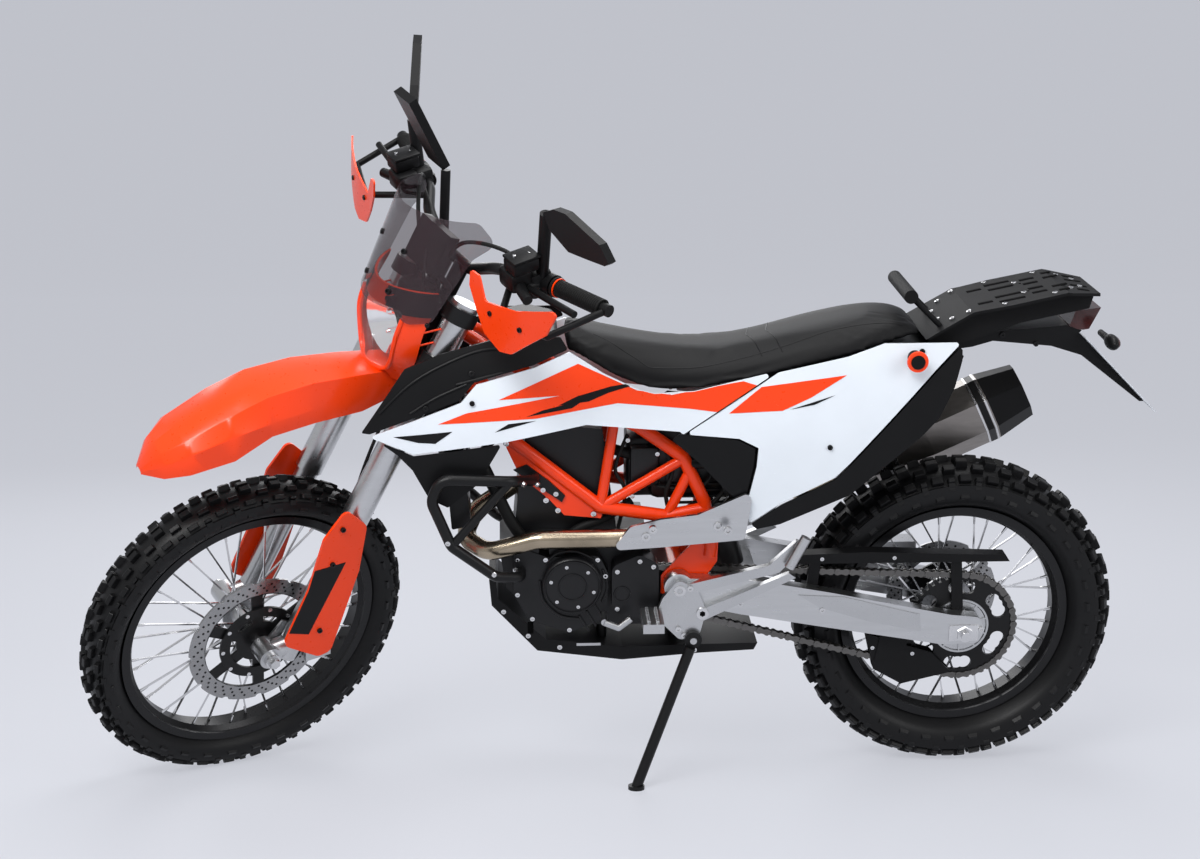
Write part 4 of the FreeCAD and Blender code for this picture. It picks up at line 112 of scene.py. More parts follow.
CAMERA_FROM_REAR_AXLE = Vector((0.9525, 3.9505, 0.9005))
CAMERA_YAW = 0.05097
CAMERA_PITCH = 0.12833
CAMERA_LENS = 57.02
SENSOR = 36.0

camera_data = bpy.data.cameras.new("camera")
camera_data.lens = CAMERA_LENS
camera_data.sensor_width = SENSOR
camera = new_object("camera", camera_data)
look = Vector((-math.sin(CAMERA_YAW) * math.cos(CAMERA_PITCH),
               -math.cos(CAMERA_YAW) * math.cos(CAMERA_PITCH), -math.sin(CAMERA_PITCH)))
camera.location = rear_axle + CAMERA_FROM_REAR_AXLE
camera.rotation_mode = "QUATERNION"
camera.rotation_quaternion = look.to_track_quat("-Z", "Y")
bpy.context.scene.camera = camera
print("camera", [round(v, 3) for v in camera.location])

# %% [markdown]
# A product picture needs a quiet room. One pale sheet makes the floor and curves up into the
# wall, so no horizon shows, and it catches the shadow. It is a profile of a few points, with a
# quarter circle between floor and wall, extruded across the room in one step.

# %% Floor and wall
FLOOR_REACH = 45.0
WALL_AWAY = 26.0
WALL_TOP = 40.0
COVE_RADIUS = 9.0
COVE_STEPS = 24

floor_mesh = bpy.data.meshes.new("floor")
floor_bm = bmesh.new()
profile = [(FLOOR_REACH, 0.0), (COVE_RADIUS - WALL_AWAY, 0.0)]
for step in range(1, COVE_STEPS + 1):
    angle = math.pi / 2 * step / COVE_STEPS
    profile.append((COVE_RADIUS - WALL_AWAY - COVE_RADIUS * math.sin(angle),
                    COVE_RADIUS - COVE_RADIUS * math.cos(angle)))
profile.append((-WALL_AWAY, WALL_TOP))
line = [floor_bm.verts.new((-FLOOR_REACH, y, z)) for y, z in profile]
edges = [floor_bm.edges.new(pair) for pair in zip(line, line[1:])]
made = bmesh.ops.extrude_edge_only(floor_bm, edges=edges)["geom"]
bmesh.ops.translate(floor_bm, vec=(2 * FLOOR_REACH, 0, 0),
                    verts=[item for item in made if isinstance(item, bmesh.types.BMVert)])
for face in floor_bm.faces:
    face.smooth = True
floor_bm.to_mesh(floor_mesh)
floor_bm.free()
new_object("floor", floor_mesh)
print("floor faces", len(floor_mesh.polygons))

# %% [markdown]
# The sheet is made brighter for what the camera, metal and glass see, by Light Path, so the
# lamps can stay at a level at which orange stays orange and white keeps its shading. The world
# gets the same treatment. Nodes are made by one small helper, because most of them need only
# one or two values.

# %% Look of the sheet and the world
FLOOR_COLOUR = (0.42, 0.43, 0.46, 1)
FLOOR_ROUGH = 0.55
FLOOR_GLOSS = 0.25
FLOOR_SEEN = (0.83, 0.85, 0.93, 1)
FLOOR_SHARE = 0.55
WORLD_COLOUR = (0.86, 0.87, 0.90, 1)
WORLD_STRENGTH = 0.46
WORLD_SEEN_MORE = 0.22


def add_node(tree, kind, values=(), operation=None):
    """A shader node with values on its sockets, given by the sockets' names or numbers."""
    made = tree.nodes.new("ShaderNode" + kind)
    if operation:
        made.operation = operation
    for socket, value in dict(values).items():
        made.inputs[socket].default_value = value
    return made


def seen_rays(tree):
    """A socket that is 1 for what the camera, metal and glass see, and 0 for light on things."""
    path = add_node(tree, "LightPath")
    seen = path.outputs["Is Camera Ray"]
    for kind in ("Is Glossy Ray", "Is Transmission Ray"):
        either = add_node(tree, "Math", operation="MAXIMUM")
        tree.links.new(seen, either.inputs[0])
        tree.links.new(path.outputs[kind], either.inputs[1])
        seen = either.outputs["Value"]
    return seen


floor_material = bpy.data.materials.new("pale_floor")
floor_material.use_nodes = True
floor_mesh.materials.append(floor_material)
tree = floor_material.node_tree
shader = tree.nodes["Principled BSDF"]
shader.inputs["Base Color"].default_value = FLOOR_COLOUR
shader.inputs["Roughness"].default_value = FLOOR_ROUGH
shader.inputs["Specular IOR Level"].default_value = FLOOR_GLOSS
glow = add_node(tree, "Emission", {"Color": FLOOR_SEEN})
share = add_node(tree, "Math", {1: FLOOR_SHARE}, "MULTIPLY")
blend = add_node(tree, "MixShader")
tree.links.new(seen_rays(tree), share.inputs[0])
tree.links.new(share.outputs["Value"], blend.inputs["Fac"])
tree.links.new(shader.outputs["BSDF"], blend.inputs[1])
tree.links.new(glow.outputs["Emission"], blend.inputs[2])
tree.links.new(blend.outputs["Shader"], tree.nodes["Material Output"].inputs["Surface"])

world = bpy.data.worlds.new("soft_room")
bpy.context.scene.world = world
world.use_nodes = True
tree = world.node_tree
background = tree.nodes["Background"]
background.inputs["Color"].default_value = WORLD_COLOUR
strength = add_node(tree, "Math", {1: WORLD_SEEN_MORE, 2: WORLD_STRENGTH}, "MULTIPLY_ADD")
tree.links.new(seen_rays(tree), strength.inputs[0])
tree.links.new(strength.outputs["Value"], background.inputs["Strength"])
print("room", floor_material.name, world.name)

# %% [markdown]
# Soft area lamps light the machine from the camera's side, from above and from behind. A large
# lamp gives soft edges to the shadow and long highlights on the painted parts.

# %% Lamps
def area_lamp(name, place, aim, size, power):
    """A soft rectangular lamp at a place, pointing at a spot."""
    data = bpy.data.lights.new(name, "AREA")
    data.shape = "RECTANGLE"
    data.size, data.size_y = size
    data.energy = power
    lamp = new_object(name, data)
    lamp.location = place
    lamp.rotation_mode = "QUATERNION"
    lamp.rotation_quaternion = (Vector(aim) - Vector(place)).to_track_quat("-Z", "Y")


MIDDLE = (0.0, 0.0, 0.7)
area_lamp("key", (1.6, 3.2, 3.4), MIDDLE, (2.4, 1.4), 150)
area_lamp("top", (-0.4, 0.2, 4.2), MIDDLE, (4.0, 1.8), 105)
area_lamp("side", (-3.4, 2.6, 2.0), MIDDLE, (2.0, 2.0), 45)
area_lamp("back", (0.6, -3.6, 2.6), MIDDLE, (3.6, 1.8), 60)
bpy.context.scene.view_settings.view_transform = "Standard"

# %% [markdown]
# Every finish starts from one recipe, because real surfaces differ in the same few ways: a
# base colour that drifts a little, a roughness that is never even, and a relief that is too
# fine to model. A noise pattern on Object coordinates drives all three, so that it stays in the
# surface when a wheel turns or the bars are moved. A stretch along one axis makes the same
# noise into the brushing of machined metal.

# %% The finish recipe
BROAD_NOISE = {"Scale": 9.0, "Detail": 5.0}
FINE_DETAIL = 4.0
RAMP_SPOTS = (0.3, 0.7)
COAT_ROUGH = 0.06
PLASTIC_IOR = 1.49


def finish(name, colour, rough, metal=0.0, drift=0.12, spread=0.08, grain=(180.0, 0.15),
           stretch=(1, 1, 1), coat=0.0, relief=0.0004, gloss=0.5):
    """A material with noise in its colour, roughness and relief, on Object coordinates."""
    material = bpy.data.materials.new(name)
    material.use_nodes = True
    tree = material.node_tree
    shader = tree.nodes["Principled BSDF"]
    place = add_node(tree, "TexCoord")
    mapping = add_node(tree, "Mapping", {"Scale": stretch})
    broad = add_node(tree, "TexNoise", BROAD_NOISE)
    ramp = add_node(tree, "ValToRGB")
    dark = [c * (1 - drift) for c in colour] + [1]
    light = [min(1.0, c * (1 + drift * 0.6) + drift * 0.004) for c in colour] + [1]
    for element, spot, shade in zip(ramp.color_ramp.elements, RAMP_SPOTS, (dark, light)):
        element.position = spot
        element.color = shade
    fine = add_node(tree, "TexNoise", {"Scale": grain[0], "Detail": FINE_DETAIL})
    level = add_node(tree, "MapRange", {"To Min": max(0.02, rough - spread),
                                        "To Max": min(1.0, rough + spread)})
    bump = add_node(tree, "Bump", {"Strength": grain[1], "Distance": relief})
    for start, output, end, socket in (
            (place, "Object", mapping, "Vector"), (mapping, "Vector", broad, "Vector"),
            (mapping, "Vector", fine, "Vector"), (broad, "Fac", ramp, "Fac"),
            (ramp, "Color", shader, "Base Color"), (fine, "Fac", level, "Value"),
            (level, "Result", shader, "Roughness"), (fine, "Fac", bump, "Height"),
            (bump, "Normal", shader, "Normal")):
        tree.links.new(start.outputs[output], end.inputs[socket])
    shader.inputs["Metallic"].default_value = metal
    shader.inputs["Specular IOR Level"].default_value = gloss
    if coat:
        shader.inputs["Coat Weight"].default_value = coat
        shader.inputs["Coat Roughness"].default_value = COAT_ROUGH
    return material


def clear(name, colour, rough, see_through):
    """Clear or smoked plastic: faint ripples in its roughness, and light passing through it."""
    material = finish(name, colour, rough, drift=0.05, spread=0.02, grain=(40.0, 0.03))
    shader = material.node_tree.nodes["Principled BSDF"]
    shader.inputs["IOR"].default_value = PLASTIC_IOR
    shader.inputs["Alpha"].default_value = see_through
    return material


# %% [markdown]
# The metals come first. The silver parts are polished, cast or brushed, and a header that has
# been hot drifts towards straw. The black ones are satin paint on steel, cast and painted
# engine metal, and the anodised rims. The orange on the frame is a powder coat with an
# orange-peel relief.

# %% Metal finishes
BLACK = (0.0045, 0.0045, 0.005)
PAINT_BLACK = (0.005, 0.005, 0.0055)
FRAME_ORANGE = (0.86, 0.044, 0.001)
MATERIAL = {
    "bright_steel": finish("bright_steel", (0.66, 0.66, 0.67), 0.24, 1.0, grain=(260, 0.06)),
    "disc_steel": finish("disc_steel", (0.34, 0.34, 0.345), 0.28, 1.0, grain=(90, 0.05)),
    "silver_alloy": finish("cast_silver", (0.52, 0.525, 0.535), 0.30, 1.0, drift=0.05,
                           grain=(420, 0.05), relief=0.0001),
    "brushed_alloy": finish("brushed_silver", (0.56, 0.565, 0.575), 0.28, 1.0, drift=0.04,
                            spread=0.02, grain=(20, 0.01), stretch=(1, 8, 12),
                            relief=0.00003),
    "chain_steel": finish("oiled_steel", (0.14, 0.135, 0.13), 0.32, 1.0, grain=(300, 0.2)),
    "header_steel": finish("heated_steel", (0.42, 0.35, 0.26), 0.24, 1.0, drift=0.30,
                           grain=(60, 0.015)),
    "titanium": finish("brushed_titanium", (0.27, 0.25, 0.235), 0.32, 1.0, grain=(70, 0.06),
                       stretch=(2, 10, 10)),
    "chrome": finish("lamp_chrome", (0.86, 0.87, 0.88), 0.08, 1.0, drift=0.02, spread=0.03,
                     grain=(60, 0.03)),
    "black_rim": finish("anodised_black", (0.009, 0.009, 0.010), 0.30, 0.5, grain=(300, 0.05)),
    "black_metal": finish("satin_black", PAINT_BLACK, 0.36, grain=(320, 0.12), gloss=0.24),
    "engine_black": finish("cast_black", (0.006, 0.006, 0.007), 0.38, grain=(520, 0.25),
                           gloss=0.30),
    "spring_steel": finish("spring_black", (0.016, 0.016, 0.017), 0.34, 0.3, grain=(200, 0.1)),
    "frame_orange": finish("orange_coat", FRAME_ORANGE, 0.32, coat=0.20, grain=(170, 0.08),
                           gloss=0.35),
    "rack_black": finish("rack_black", PAINT_BLACK, 0.62, grain=(500, 0.30), gloss=0.14),
}
print("metals", len(MATERIAL))

# %% [markdown]
# Bright orange and white on moulded plastic have a slight gloss, the black moulding has a
# grain, and rubber and the seat's cover are dull. They are kept apart so that the light tells
# them apart. The lens, the screen and the lamp faces let light through.

# %% Plastic, rubber and clear finishes
ORANGE = (0.95, 0.052, 0.001)
WHITE = (0.76, 0.81, 0.87)
MATERIAL.update({
    "orange_plastic": finish("orange_gloss", ORANGE, 0.30, coat=0.14, drift=0.03,
                             grain=(110, 0.02), gloss=0.35),
    "white_plastic": finish("white_gloss", WHITE, 0.24, coat=0.30, drift=0.03,
                            grain=(90, 0.03)),
    "black_plastic": finish("grained_black", BLACK, 0.42, grain=(700, 0.06), gloss=0.16),
    # black of the printed graphics and the dash; the same black on plugs in the disc holes is
    # painted shade
    "graphic_black": finish("graphic_black", (0.006, 0.006, 0.0065), 0.34, grain=(90, 0.02),
                            gloss=0.16),
    # painted shade: the near-black of plates that stand for the shade in slots, sockets and
    # hollow ends
    "recess_black": finish("recess_black", (0.0012, 0.0012, 0.0014), 0.85, grain=(300, 0.2),
                           gloss=0.05),
    "blank_plate": finish("plate_white", (0.62, 0.65, 0.70), 0.35, grain=(150, 0.05)),
    "tyre": finish("knobbly_rubber", BLACK, 0.44, grain=(240, 0.20), gloss=0.22),
    "grip_rubber": finish("grip_rubber", (0.006, 0.006, 0.006), 0.60, grain=(500, 0.4),
                          gloss=0.18),
    "seat_cover": finish("grip_cover", (0.0055, 0.0055, 0.006), 0.56, grain=(900, 0.35),
                         gloss=0.16),
    "clear_lens": clear("clear_lens", (0.80, 0.84, 0.88), 0.04, 0.05),
    "smoked_screen": clear("smoked_screen", (0.050, 0.030, 0.036), 0.05, 0.38),
    "smoked_lamp": clear("smoked_lamp", (0.05, 0.008, 0.008), 0.12, 0.90),
})
print("finishes", len(MATERIAL))

# %% [markdown]
# A frame part comes with one plain material for each slot. Replacing what is in the slot keeps
# the mesh as it is, which matters, because the frame must not be changed. A few parts share a
# slot but not a surface: the swingarm is brushed, the brake discs are ground, and the rack is
# duller than the other black metal.

# %% Dress the frame's own parts
FINER_FINISH = {"swingarm": "brushed_alloy", "heat_shield": "brushed_alloy",
                "fork_tubes": "brushed_alloy", "front_disc": "disc_steel",
                "rear_disc": "disc_steel", "engine_case": "engine_black",
                "engine_cylinder": "engine_black", "engine_covers": "engine_black",
                "luggage_rack": "rack_black", "rack_knobs": "rack_black",
                "dash": "graphic_black"}
slot_of_node = {part["node"]: part["material_slot"] for part in RECORD["subparts"]}
for node_name, node in NODES.items():
    chosen = MATERIAL[FINER_FINISH.get(node_name, slot_of_node[node_name])]
    for index in range(len(node.material_slots)):
        node.material_slots[index].material = chosen
    if not node.material_slots:
        node.data.materials.append(chosen)
print("dressed", len(NODES))

# %% [markdown]
# Every new piece goes the same way: it is modelled upright and straight in metres, carried to
# its place by one of the matrices above, and given to the body that it moves with. Edges that
# turn sharply are marked sharp, and all other faces are shaded smooth, so that a round rod
# looks round with few faces. Other helpers copy a part of the frame, cut a copy, raise it off
# the surface and join shapes.

# %% Making pieces
SHARP_ANGLE = math.radians(32)
MERGE = 0.00002
# where a piece is modelled, and the body that it moves with
ON_BIKE = (BIKE, "root")
ON_FORK = (FORK, "steering")
ON_FRONT_WHEEL = (FRONT_WHEEL, "front_wheel")
ON_REAR_WHEEL = (REAR_WHEEL, "rear_wheel")


def as_piece(name, bm, body, slot_name, finish_name=None, replaced=()):
    """Make a finished shape a piece of a body, in the slot's finish if no other is named."""
    mesh = bpy.data.meshes.new(name)
    bm.to_mesh(mesh)
    bm.free()
    mesh.materials.append(MATERIAL[finish_name or slot_name])
    thing = new_object(name, mesh)
    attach(thing, body)
    if replaced:
        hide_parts(*replaced)
    print(name, "faces", len(mesh.polygons))


def add_piece(name, bm, matrix, body, slot_name, finish_name=None, replaced=(),
              sharp=SHARP_ANGLE):
    """Carry a modelled shape to its place, shade it and make it a piece of a body."""
    bmesh.ops.recalc_face_normals(bm, faces=bm.faces)
    bmesh.ops.transform(bm, matrix=matrix, verts=bm.verts)
    for face in bm.faces:
        face.smooth = True
    for edge in bm.edges:
        if len(edge.link_faces) != 2 or edge.calc_face_angle(0) > sharp:
            edge.smooth = False
    as_piece(name, bm, body, slot_name, finish_name, replaced)


def node_copy(node_name, matrix=None):
    """A CAD part's mesh, merged: in its own place, or in the frame that a matrix stands for."""
    bm = bmesh.new()
    bm.from_mesh(NODES[node_name].data)
    bmesh.ops.transform(bm, matrix=NODES[node_name].matrix_world, verts=bm.verts)
    bmesh.ops.remove_doubles(bm, verts=bm.verts, dist=MERGE)
    if matrix:
        bmesh.ops.transform(bm, matrix=matrix.inverted(), verts=bm.verts)
    return bm


def cut(bm, place, out):
    """Remove what lies beyond a plane, on the side that its direction points to."""
    bmesh.ops.bisect_plane(bm, geom=bm.verts[:] + bm.edges[:] + bm.faces[:], plane_co=place,
                           plane_no=out, clear_outer=True)


def lift(bm, distance):
    """Raise a skin off the surface that it was copied from."""
    bm.normal_update()
    for vert in bm.verts:
        vert.co += vert.normal * distance


def pour(source, target):
    """Move all of one bmesh into another."""
    mesh = bpy.data.meshes.new("pour")
    source.to_mesh(mesh)
    source.free()
    target.from_mesh(mesh)
    bpy.data.meshes.remove(mesh)


# %% [markdown]
# The next helpers add a shape to a bmesh that is being built: a rod between two points, a tube
# along a smooth line, a box, a screw, an outline pushed into a plate, and a section spun once
# round an axis. The last two look at a shape: they find its loose parts, and a middle.

# %% Shapes that repeat
SCREW_SIDES = 14
SCREW_HEIGHT = 0.8
SCREW_TAPER = 0.94
# inset and depth of the top's edge, the recess's rim and its wall, as shares of the radius
SCREW_TOP = ((0.12, 0.05), (0.34, 0.0), (0.02, -0.5))
FULL_TURN = 2 * math.pi


def facing(place, axis):
    """The matrix that stands local Z along an axis at a place."""
    turn = Vector(axis).normalized().to_track_quat("Z", "Y").to_matrix().to_4x4()
    turn.translation = Vector(place)
    return turn


def around(count, start=0.0):
    """Angles that divide a full turn, from a start given in steps."""
    return [FULL_TURN * (index + start) / count for index in range(count)]


def add_rod(bm, start, end, radius, sides=14, end_radius=None):
    """A straight rod between two points."""
    start, end = Vector(start), Vector(end)
    matrix = facing((start + end) / 2, end - start)
    made = bmesh.ops.create_cone(bm, cap_ends=True, segments=sides, radius1=radius,
                                 radius2=radius if end_radius is None else end_radius,
                                 depth=(end - start).length, matrix=matrix)
    return made["verts"]


def add_tube(bm, points, radius, sides=10, steps=5):
    """A tube along a smooth line through the points: rings bridged one to the next."""
    points = [Vector(p) for p in points]
    line = []
    for index in range(len(points) - 1):
        before = points[max(index - 1, 0)]
        start, end = points[index], points[index + 1]
        after = points[min(index + 2, len(points) - 1)]
        for step in range(steps):
            t = step / steps
            line.append(0.5 * (2 * start + (end - before) * t
                               + (2 * before - 5 * start + 4 * end - after) * t * t
                               + (3 * start - before - 3 * end + after) * t * t * t))
    line.append(points[-1])
    rings = []
    for index, spot in enumerate(line):
        ahead = line[min(index + 1, len(line) - 1)] - line[max(index - 1, 0)]
        ring = bmesh.ops.create_circle(bm, segments=sides, radius=radius,
                                       cap_ends=index in (0, len(line) - 1),
                                       matrix=facing(spot, ahead))
        rings.append({edge for vert in ring["verts"] for edge in vert.link_edges})
    for first, second in zip(rings, rings[1:]):
        bmesh.ops.bridge_loops(bm, edges=list(first) + list(second))


def add_box(bm, centre, size, turn=None, bevel=0.0):
    """A box with its edges broken, turned by a matrix if one is given."""
    matrix = (Matrix.Translation(centre) @ (turn or Matrix())
              @ Matrix.Diagonal((*size, 1)))
    made = bmesh.ops.create_cube(bm, size=1.0, matrix=matrix)["verts"]
    if bevel:
        edges = list({edge for vert in made for edge in vert.link_edges})
        bmesh.ops.bevel(bm, geom=edges, offset=bevel, affect="EDGES", segments=2, profile=0.5,
                        material=-1)


def add_screw(bm, place, axis, radius, height=None):
    """A screw head with a round recess, half sunk in a surface."""
    axis = Vector(axis).normalized()
    height = height or radius * SCREW_HEIGHT
    place = Vector(place)
    verts = add_rod(bm, place - axis * height, place + axis * height, radius, SCREW_SIDES,
                    radius * SCREW_TAPER)
    top = max({face for vert in verts for face in vert.link_faces},
              key=lambda face: face.calc_center_median().dot(axis))
    for inset, depth in SCREW_TOP:
        bmesh.ops.inset_region(bm, faces=[top], thickness=radius * inset, depth=radius * depth)


def add_plate(bm, outline, direction):
    """A flat outline of points pushed along a direction into a plate."""
    verts = [bm.verts.new(Vector(p)) for p in outline]
    face = bm.faces.new(verts)
    made = bmesh.ops.extrude_face_region(bm, geom=[face])["geom"]
    moved = [item for item in made if isinstance(item, bmesh.types.BMVert)]
    bmesh.ops.translate(bm, vec=Vector(direction), verts=moved)


def add_spun(bm, section, axis, steps, closed=True):
    """A section of points spun once round an axis through the origin, and its vertices."""
    before = set(bm.verts)
    verts = [bm.verts.new(point) for point in section]
    edges = [bm.edges.new(pair) for pair in zip(verts, verts[1:])]
    if closed:
        edges.append(bm.edges.new((verts[-1], verts[0])))
    bmesh.ops.spin(bm, geom=verts + edges, cent=(0, 0, 0), axis=axis, angle=FULL_TURN,
                   steps=steps, use_merge=True)
    return [vert for vert in bm.verts if vert not in before]


def islands(bm):
    """The loose parts of a bmesh, each as a list of its points."""
    seen, parts = set(), []
    for vert in bm.verts:
        part, todo = [], [vert]
        while todo:
            spot = todo.pop()
            if spot not in seen:
                seen.add(spot)
                part.append(spot.co.copy())
                todo += [edge.other_vert(spot) for edge in spot.link_edges]
        if part:
            parts.append(part)
    return parts


def middle_of(points):
    """The mean of some points."""
    return sum(points, Vector()) / len(points)


# %% [markdown]
# The graphics are thin films on the panels. A film is made from the panel itself, so that it
# follows the curve: a copy of the panel keeps only the faces that look outwards, is cut to the
# film's outline one edge at a time with bisect_plane, and is raised by less than a millimetre.
# An outline has to be convex for such cuts, so a bent shape is made of several that meet. The
# shapes here are plain slashes and wedges.

# %% Graphics on the panels
FILM_LIFT = 0.0006
TOP_FILM_LIFT = 0.0010
FILM_SLOPE = 0.35


def film(name, node_name, matrix, body, slot_name, finish_name, distance, outlines):
    """Thin films with convex side-view outlines, in millimetres, on a part's outer faces."""
    whole = bmesh.new()
    for side in (1, -1):
        for outline in outlines:
            bm = node_copy(node_name, matrix)
            inner = [face for face in bm.faces if face.normal.y * side < FILM_SLOPE
                     or face.calc_center_median().y * side < 0]
            bmesh.ops.delete(bm, geom=inner, context="FACES")
            corners = [Vector((x / 1000, 0, z / 1000)) for x, z in outline]
            middle = middle_of(corners)
            for start, end in zip(corners, corners[1:] + corners[:1]):
                normal = Vector((end.z - start.z, 0, start.x - end.x))
                cut(bm, start, -normal if normal.dot(middle - start) > 0 else normal)
            lift(bm, distance)
            pour(bm, whole)
    bmesh.ops.transform(whole, matrix=matrix, verts=whole.verts)
    for face in whole.faces:
        face.smooth = True
    as_piece(name, whole, body, slot_name, finish_name)


FRONT_ORANGE = [[(958, 873), (802, 937), (687, 883), (838, 877)],
                [(1077, 828), (1021, 849), (838, 877), (725, 859), (885, 834)],
                [(838, 877), (687, 883), (725, 859)],
                [(687, 883), (620, 873), (580, 844), (725, 859)],
                [(620, 872), (476, 897), (448, 888), (511, 834), (580, 844)]]
REAR_ORANGE = [[(504, 833), (440, 885), (397, 837)], [(440, 885), (340, 863), (397, 837)],
               [(440, 885), (270, 906), (340, 863)]]
FRONT_BLACK = [[(1165, 803), (1049, 813), (1083, 789), (1116, 791)],
               [(967, 809), (885, 830), (940, 825)]]
SLASH_BLACK = [[(905, 838), (815, 852), (790, 868), (872, 850)],
               [(842, 858), (782, 864), (742, 880), (802, 876)],
               [(800, 876), (742, 880), (655, 903), (738, 892)]]
REAR_BLACK = [[(452, 826), (383, 839), (292, 867), (363, 835)]]
MASK_BLACK = [[(1270, 1064), (1100, 1064), (1100, 1120), (1270, 1120)]]
GUARD_BLACK = [[(1422, 556), (1342, 556), (1424, 398), (1481, 421)]]
IN_ORANGE = ("orange_plastic", "orange_plastic")
IN_BLACK = ("black_plastic", "graphic_black")

film("front_graphic", "front_panels", *ON_BIKE, *IN_ORANGE, FILM_LIFT, FRONT_ORANGE)
film("rear_graphic", "rear_panels", *ON_BIKE, *IN_ORANGE, FILM_LIFT, REAR_ORANGE)
film("wedge_graphic", "front_panels", *ON_BIKE, *IN_BLACK, FILM_LIFT, FRONT_BLACK)
film("slash_graphic", "front_panels", *ON_BIKE, *IN_BLACK, TOP_FILM_LIFT, SLASH_BLACK)
film("rear_wedge", "rear_panels", *ON_BIKE, *IN_BLACK, TOP_FILM_LIFT, REAR_BLACK)
film("mask_top", "headlight_mask", *ON_FORK, *IN_BLACK, FILM_LIFT, MASK_BLACK)
film("guard_inserts", "fork_guards", *ON_FORK, *IN_BLACK, FILM_LIFT, GUARD_BLACK)

# %% [markdown]
# A knobbly tyre is a smooth rubber carcass with separate rubber blocks on it. The carcass is a
# section spun round the axle. Its blocks come in rows: one block is made, its edges are broken,
# it is laid on the crown's curve, and spin copies it round the wheel. Neighbouring rows are
# half a pitch apart, as on the real tread, so that some rubber is always on the ground.

# %% Blocks round a wheel
LUG_PITCHES = 34
PITCH = FULL_TURN / LUG_PITCHES
LUG_DEPTH_SHARE = 1.5
LUG_TAPER = (0.86, 0.88)
LUG_EDGE = 0.09
KNOB_THICKNESS = 0.007
KNOB_TAPER = 0.8
KNOB_LEAN = 0.38
KNOB_SIDE = 0.90
FRONT_HALF_WIDTH = 0.047
REAR_HALF_WIDTH = 0.072
# in lug heights: how deep an edge's two ends together may lie and still be broken, and how
# deep the carcass lies at the shoulder
BROKEN_DOWN_TO = 1.4
SHOULDER_DROP = 1.15
# phase in pitches, height in metres on the front tyre, drop as a share of the wall, length in
# pitches
KNOB_ROWS = ((0.0, 0.021, 0.55, 0.34), (0.5, 0.013, 0.42, 0.24))


def copy_round(bm, verts):
    """Copy a block to all the other pitches of the wheel."""
    parts = (verts, {edge for vert in verts for edge in vert.link_edges},
             {face for vert in verts for face in vert.link_faces})
    bmesh.ops.spin(bm, geom=[item for part in parts for item in part], cent=(0, 0, 0),
                   axis=(0, 1, 0), angle=FULL_TURN - PITCH, steps=LUG_PITCHES - 1,
                   use_duplicate=True)


def add_side_knobs(bm, radius, half_width, height):
    """Two rows of knobs on each wall, where the blocks of the crown end."""
    for side in (1, -1):
        for phase, tall, drop, length in KNOB_ROWS:
            knob = bmesh.ops.create_cube(bm, size=1.0)["verts"]
            size = (length * PITCH * radius, KNOB_THICKNESS, tall * half_width / FRONT_HALF_WIDTH)
            bmesh.ops.scale(bm, vec=size, verts=knob)
            for vert in knob:
                if vert.co.y * side > 0:
                    vert.co.x *= KNOB_TAPER
                    vert.co.z *= KNOB_TAPER
            place = Vector((0, side * (half_width * KNOB_SIDE), radius - height * drop))
            bmesh.ops.transform(bm, matrix=Matrix.Rotation(phase * PITCH, 4, "Y")
                                @ Matrix.Translation(place)
                                @ Matrix.Rotation(side * KNOB_LEAN, 4, "X"), verts=knob)
            copy_round(bm, knob)


def add_block(bm, size, lug, turn):
    """A tapered block with broken edges, laid on the crown and copied round."""
    block = bmesh.ops.create_cube(bm, size=1.0)["verts"]
    bmesh.ops.scale(bm, vec=size, verts=block)
    for vert in block:
        if vert.co.z > 0:
            vert.co.x *= LUG_TAPER[0]
            vert.co.y *= LUG_TAPER[1]
    bmesh.ops.translate(bm, vec=(0, 0, -size[2] / 2), verts=block)
    edges = list({edge for vert in block for edge in vert.link_edges
                  if edge.verts[0].co.z + edge.verts[1].co.z > -lug * BROKEN_DOWN_TO})
    beveled = bmesh.ops.bevel(bm, geom=edges, offset=lug * LUG_EDGE, affect="EDGES", segments=1,
                              profile=0.5, material=-1)
    faces = {face for vert in beveled["verts"] for face in vert.link_faces}
    lump = list({vert for face in faces for vert in face.verts})
    bmesh.ops.transform(bm, matrix=turn, verts=lump)
    copy_round(bm, lump)


# %% Knobbly tyres
def knobbly(name, matrix, body, node, radius, half_width, crown, rim_radius, bead, lug, rows):
    """A tyre from a spun section and rows of blocks copied round it."""
    bm = bmesh.new()
    height = radius - rim_radius

    def crown_height(share):
        return math.sqrt(crown ** 2 - (share * half_width) ** 2) - crown

    section = [(bead - 0.006, rim_radius - 0.008), (bead - 0.001, rim_radius + 0.0008),
               (bead + 0.003, rim_radius + 0.004)]
    section += [(half_width * wide, rim_radius + height * high) for wide, high in
                ((0.80, 0.14), (0.93, 0.28), (0.985, 0.45), (0.95, 0.60))]
    section.append((half_width * 0.86, radius + crown_height(0.86) - lug * SHOULDER_DROP))
    section += [(half_width * share, radius + crown_height(share) - lug)
                for share in (0.70, 0.52, 0.34, 0.17, 0.0)]
    section += [(-y, r) for y, r in reversed(section[:-1])]
    add_spun(bm, [(0, y, r) for y, r in section], (0, 1, 0), 120)
    add_side_knobs(bm, radius, half_width, height)
    for side_share, width_share, phase, length_share, tall in rows:
        for side in ((1, -1) if side_share else (1,)):
            y = side * side_share * half_width
            tilt = math.asin(y / crown)
            top = radius - crown + crown * math.cos(tilt)
            turn = (Matrix.Rotation(phase * PITCH, 4, "Y") @ Matrix.Translation((0, y, top))
                    @ Matrix.Rotation(-tilt, 4, "X"))
            size = (length_share * PITCH * radius, width_share * half_width,
                    lug * LUG_DEPTH_SHARE * tall)
            add_block(bm, size, lug, turn)
    add_piece(name, bm, matrix, body, "tyre", replaced=(node,))


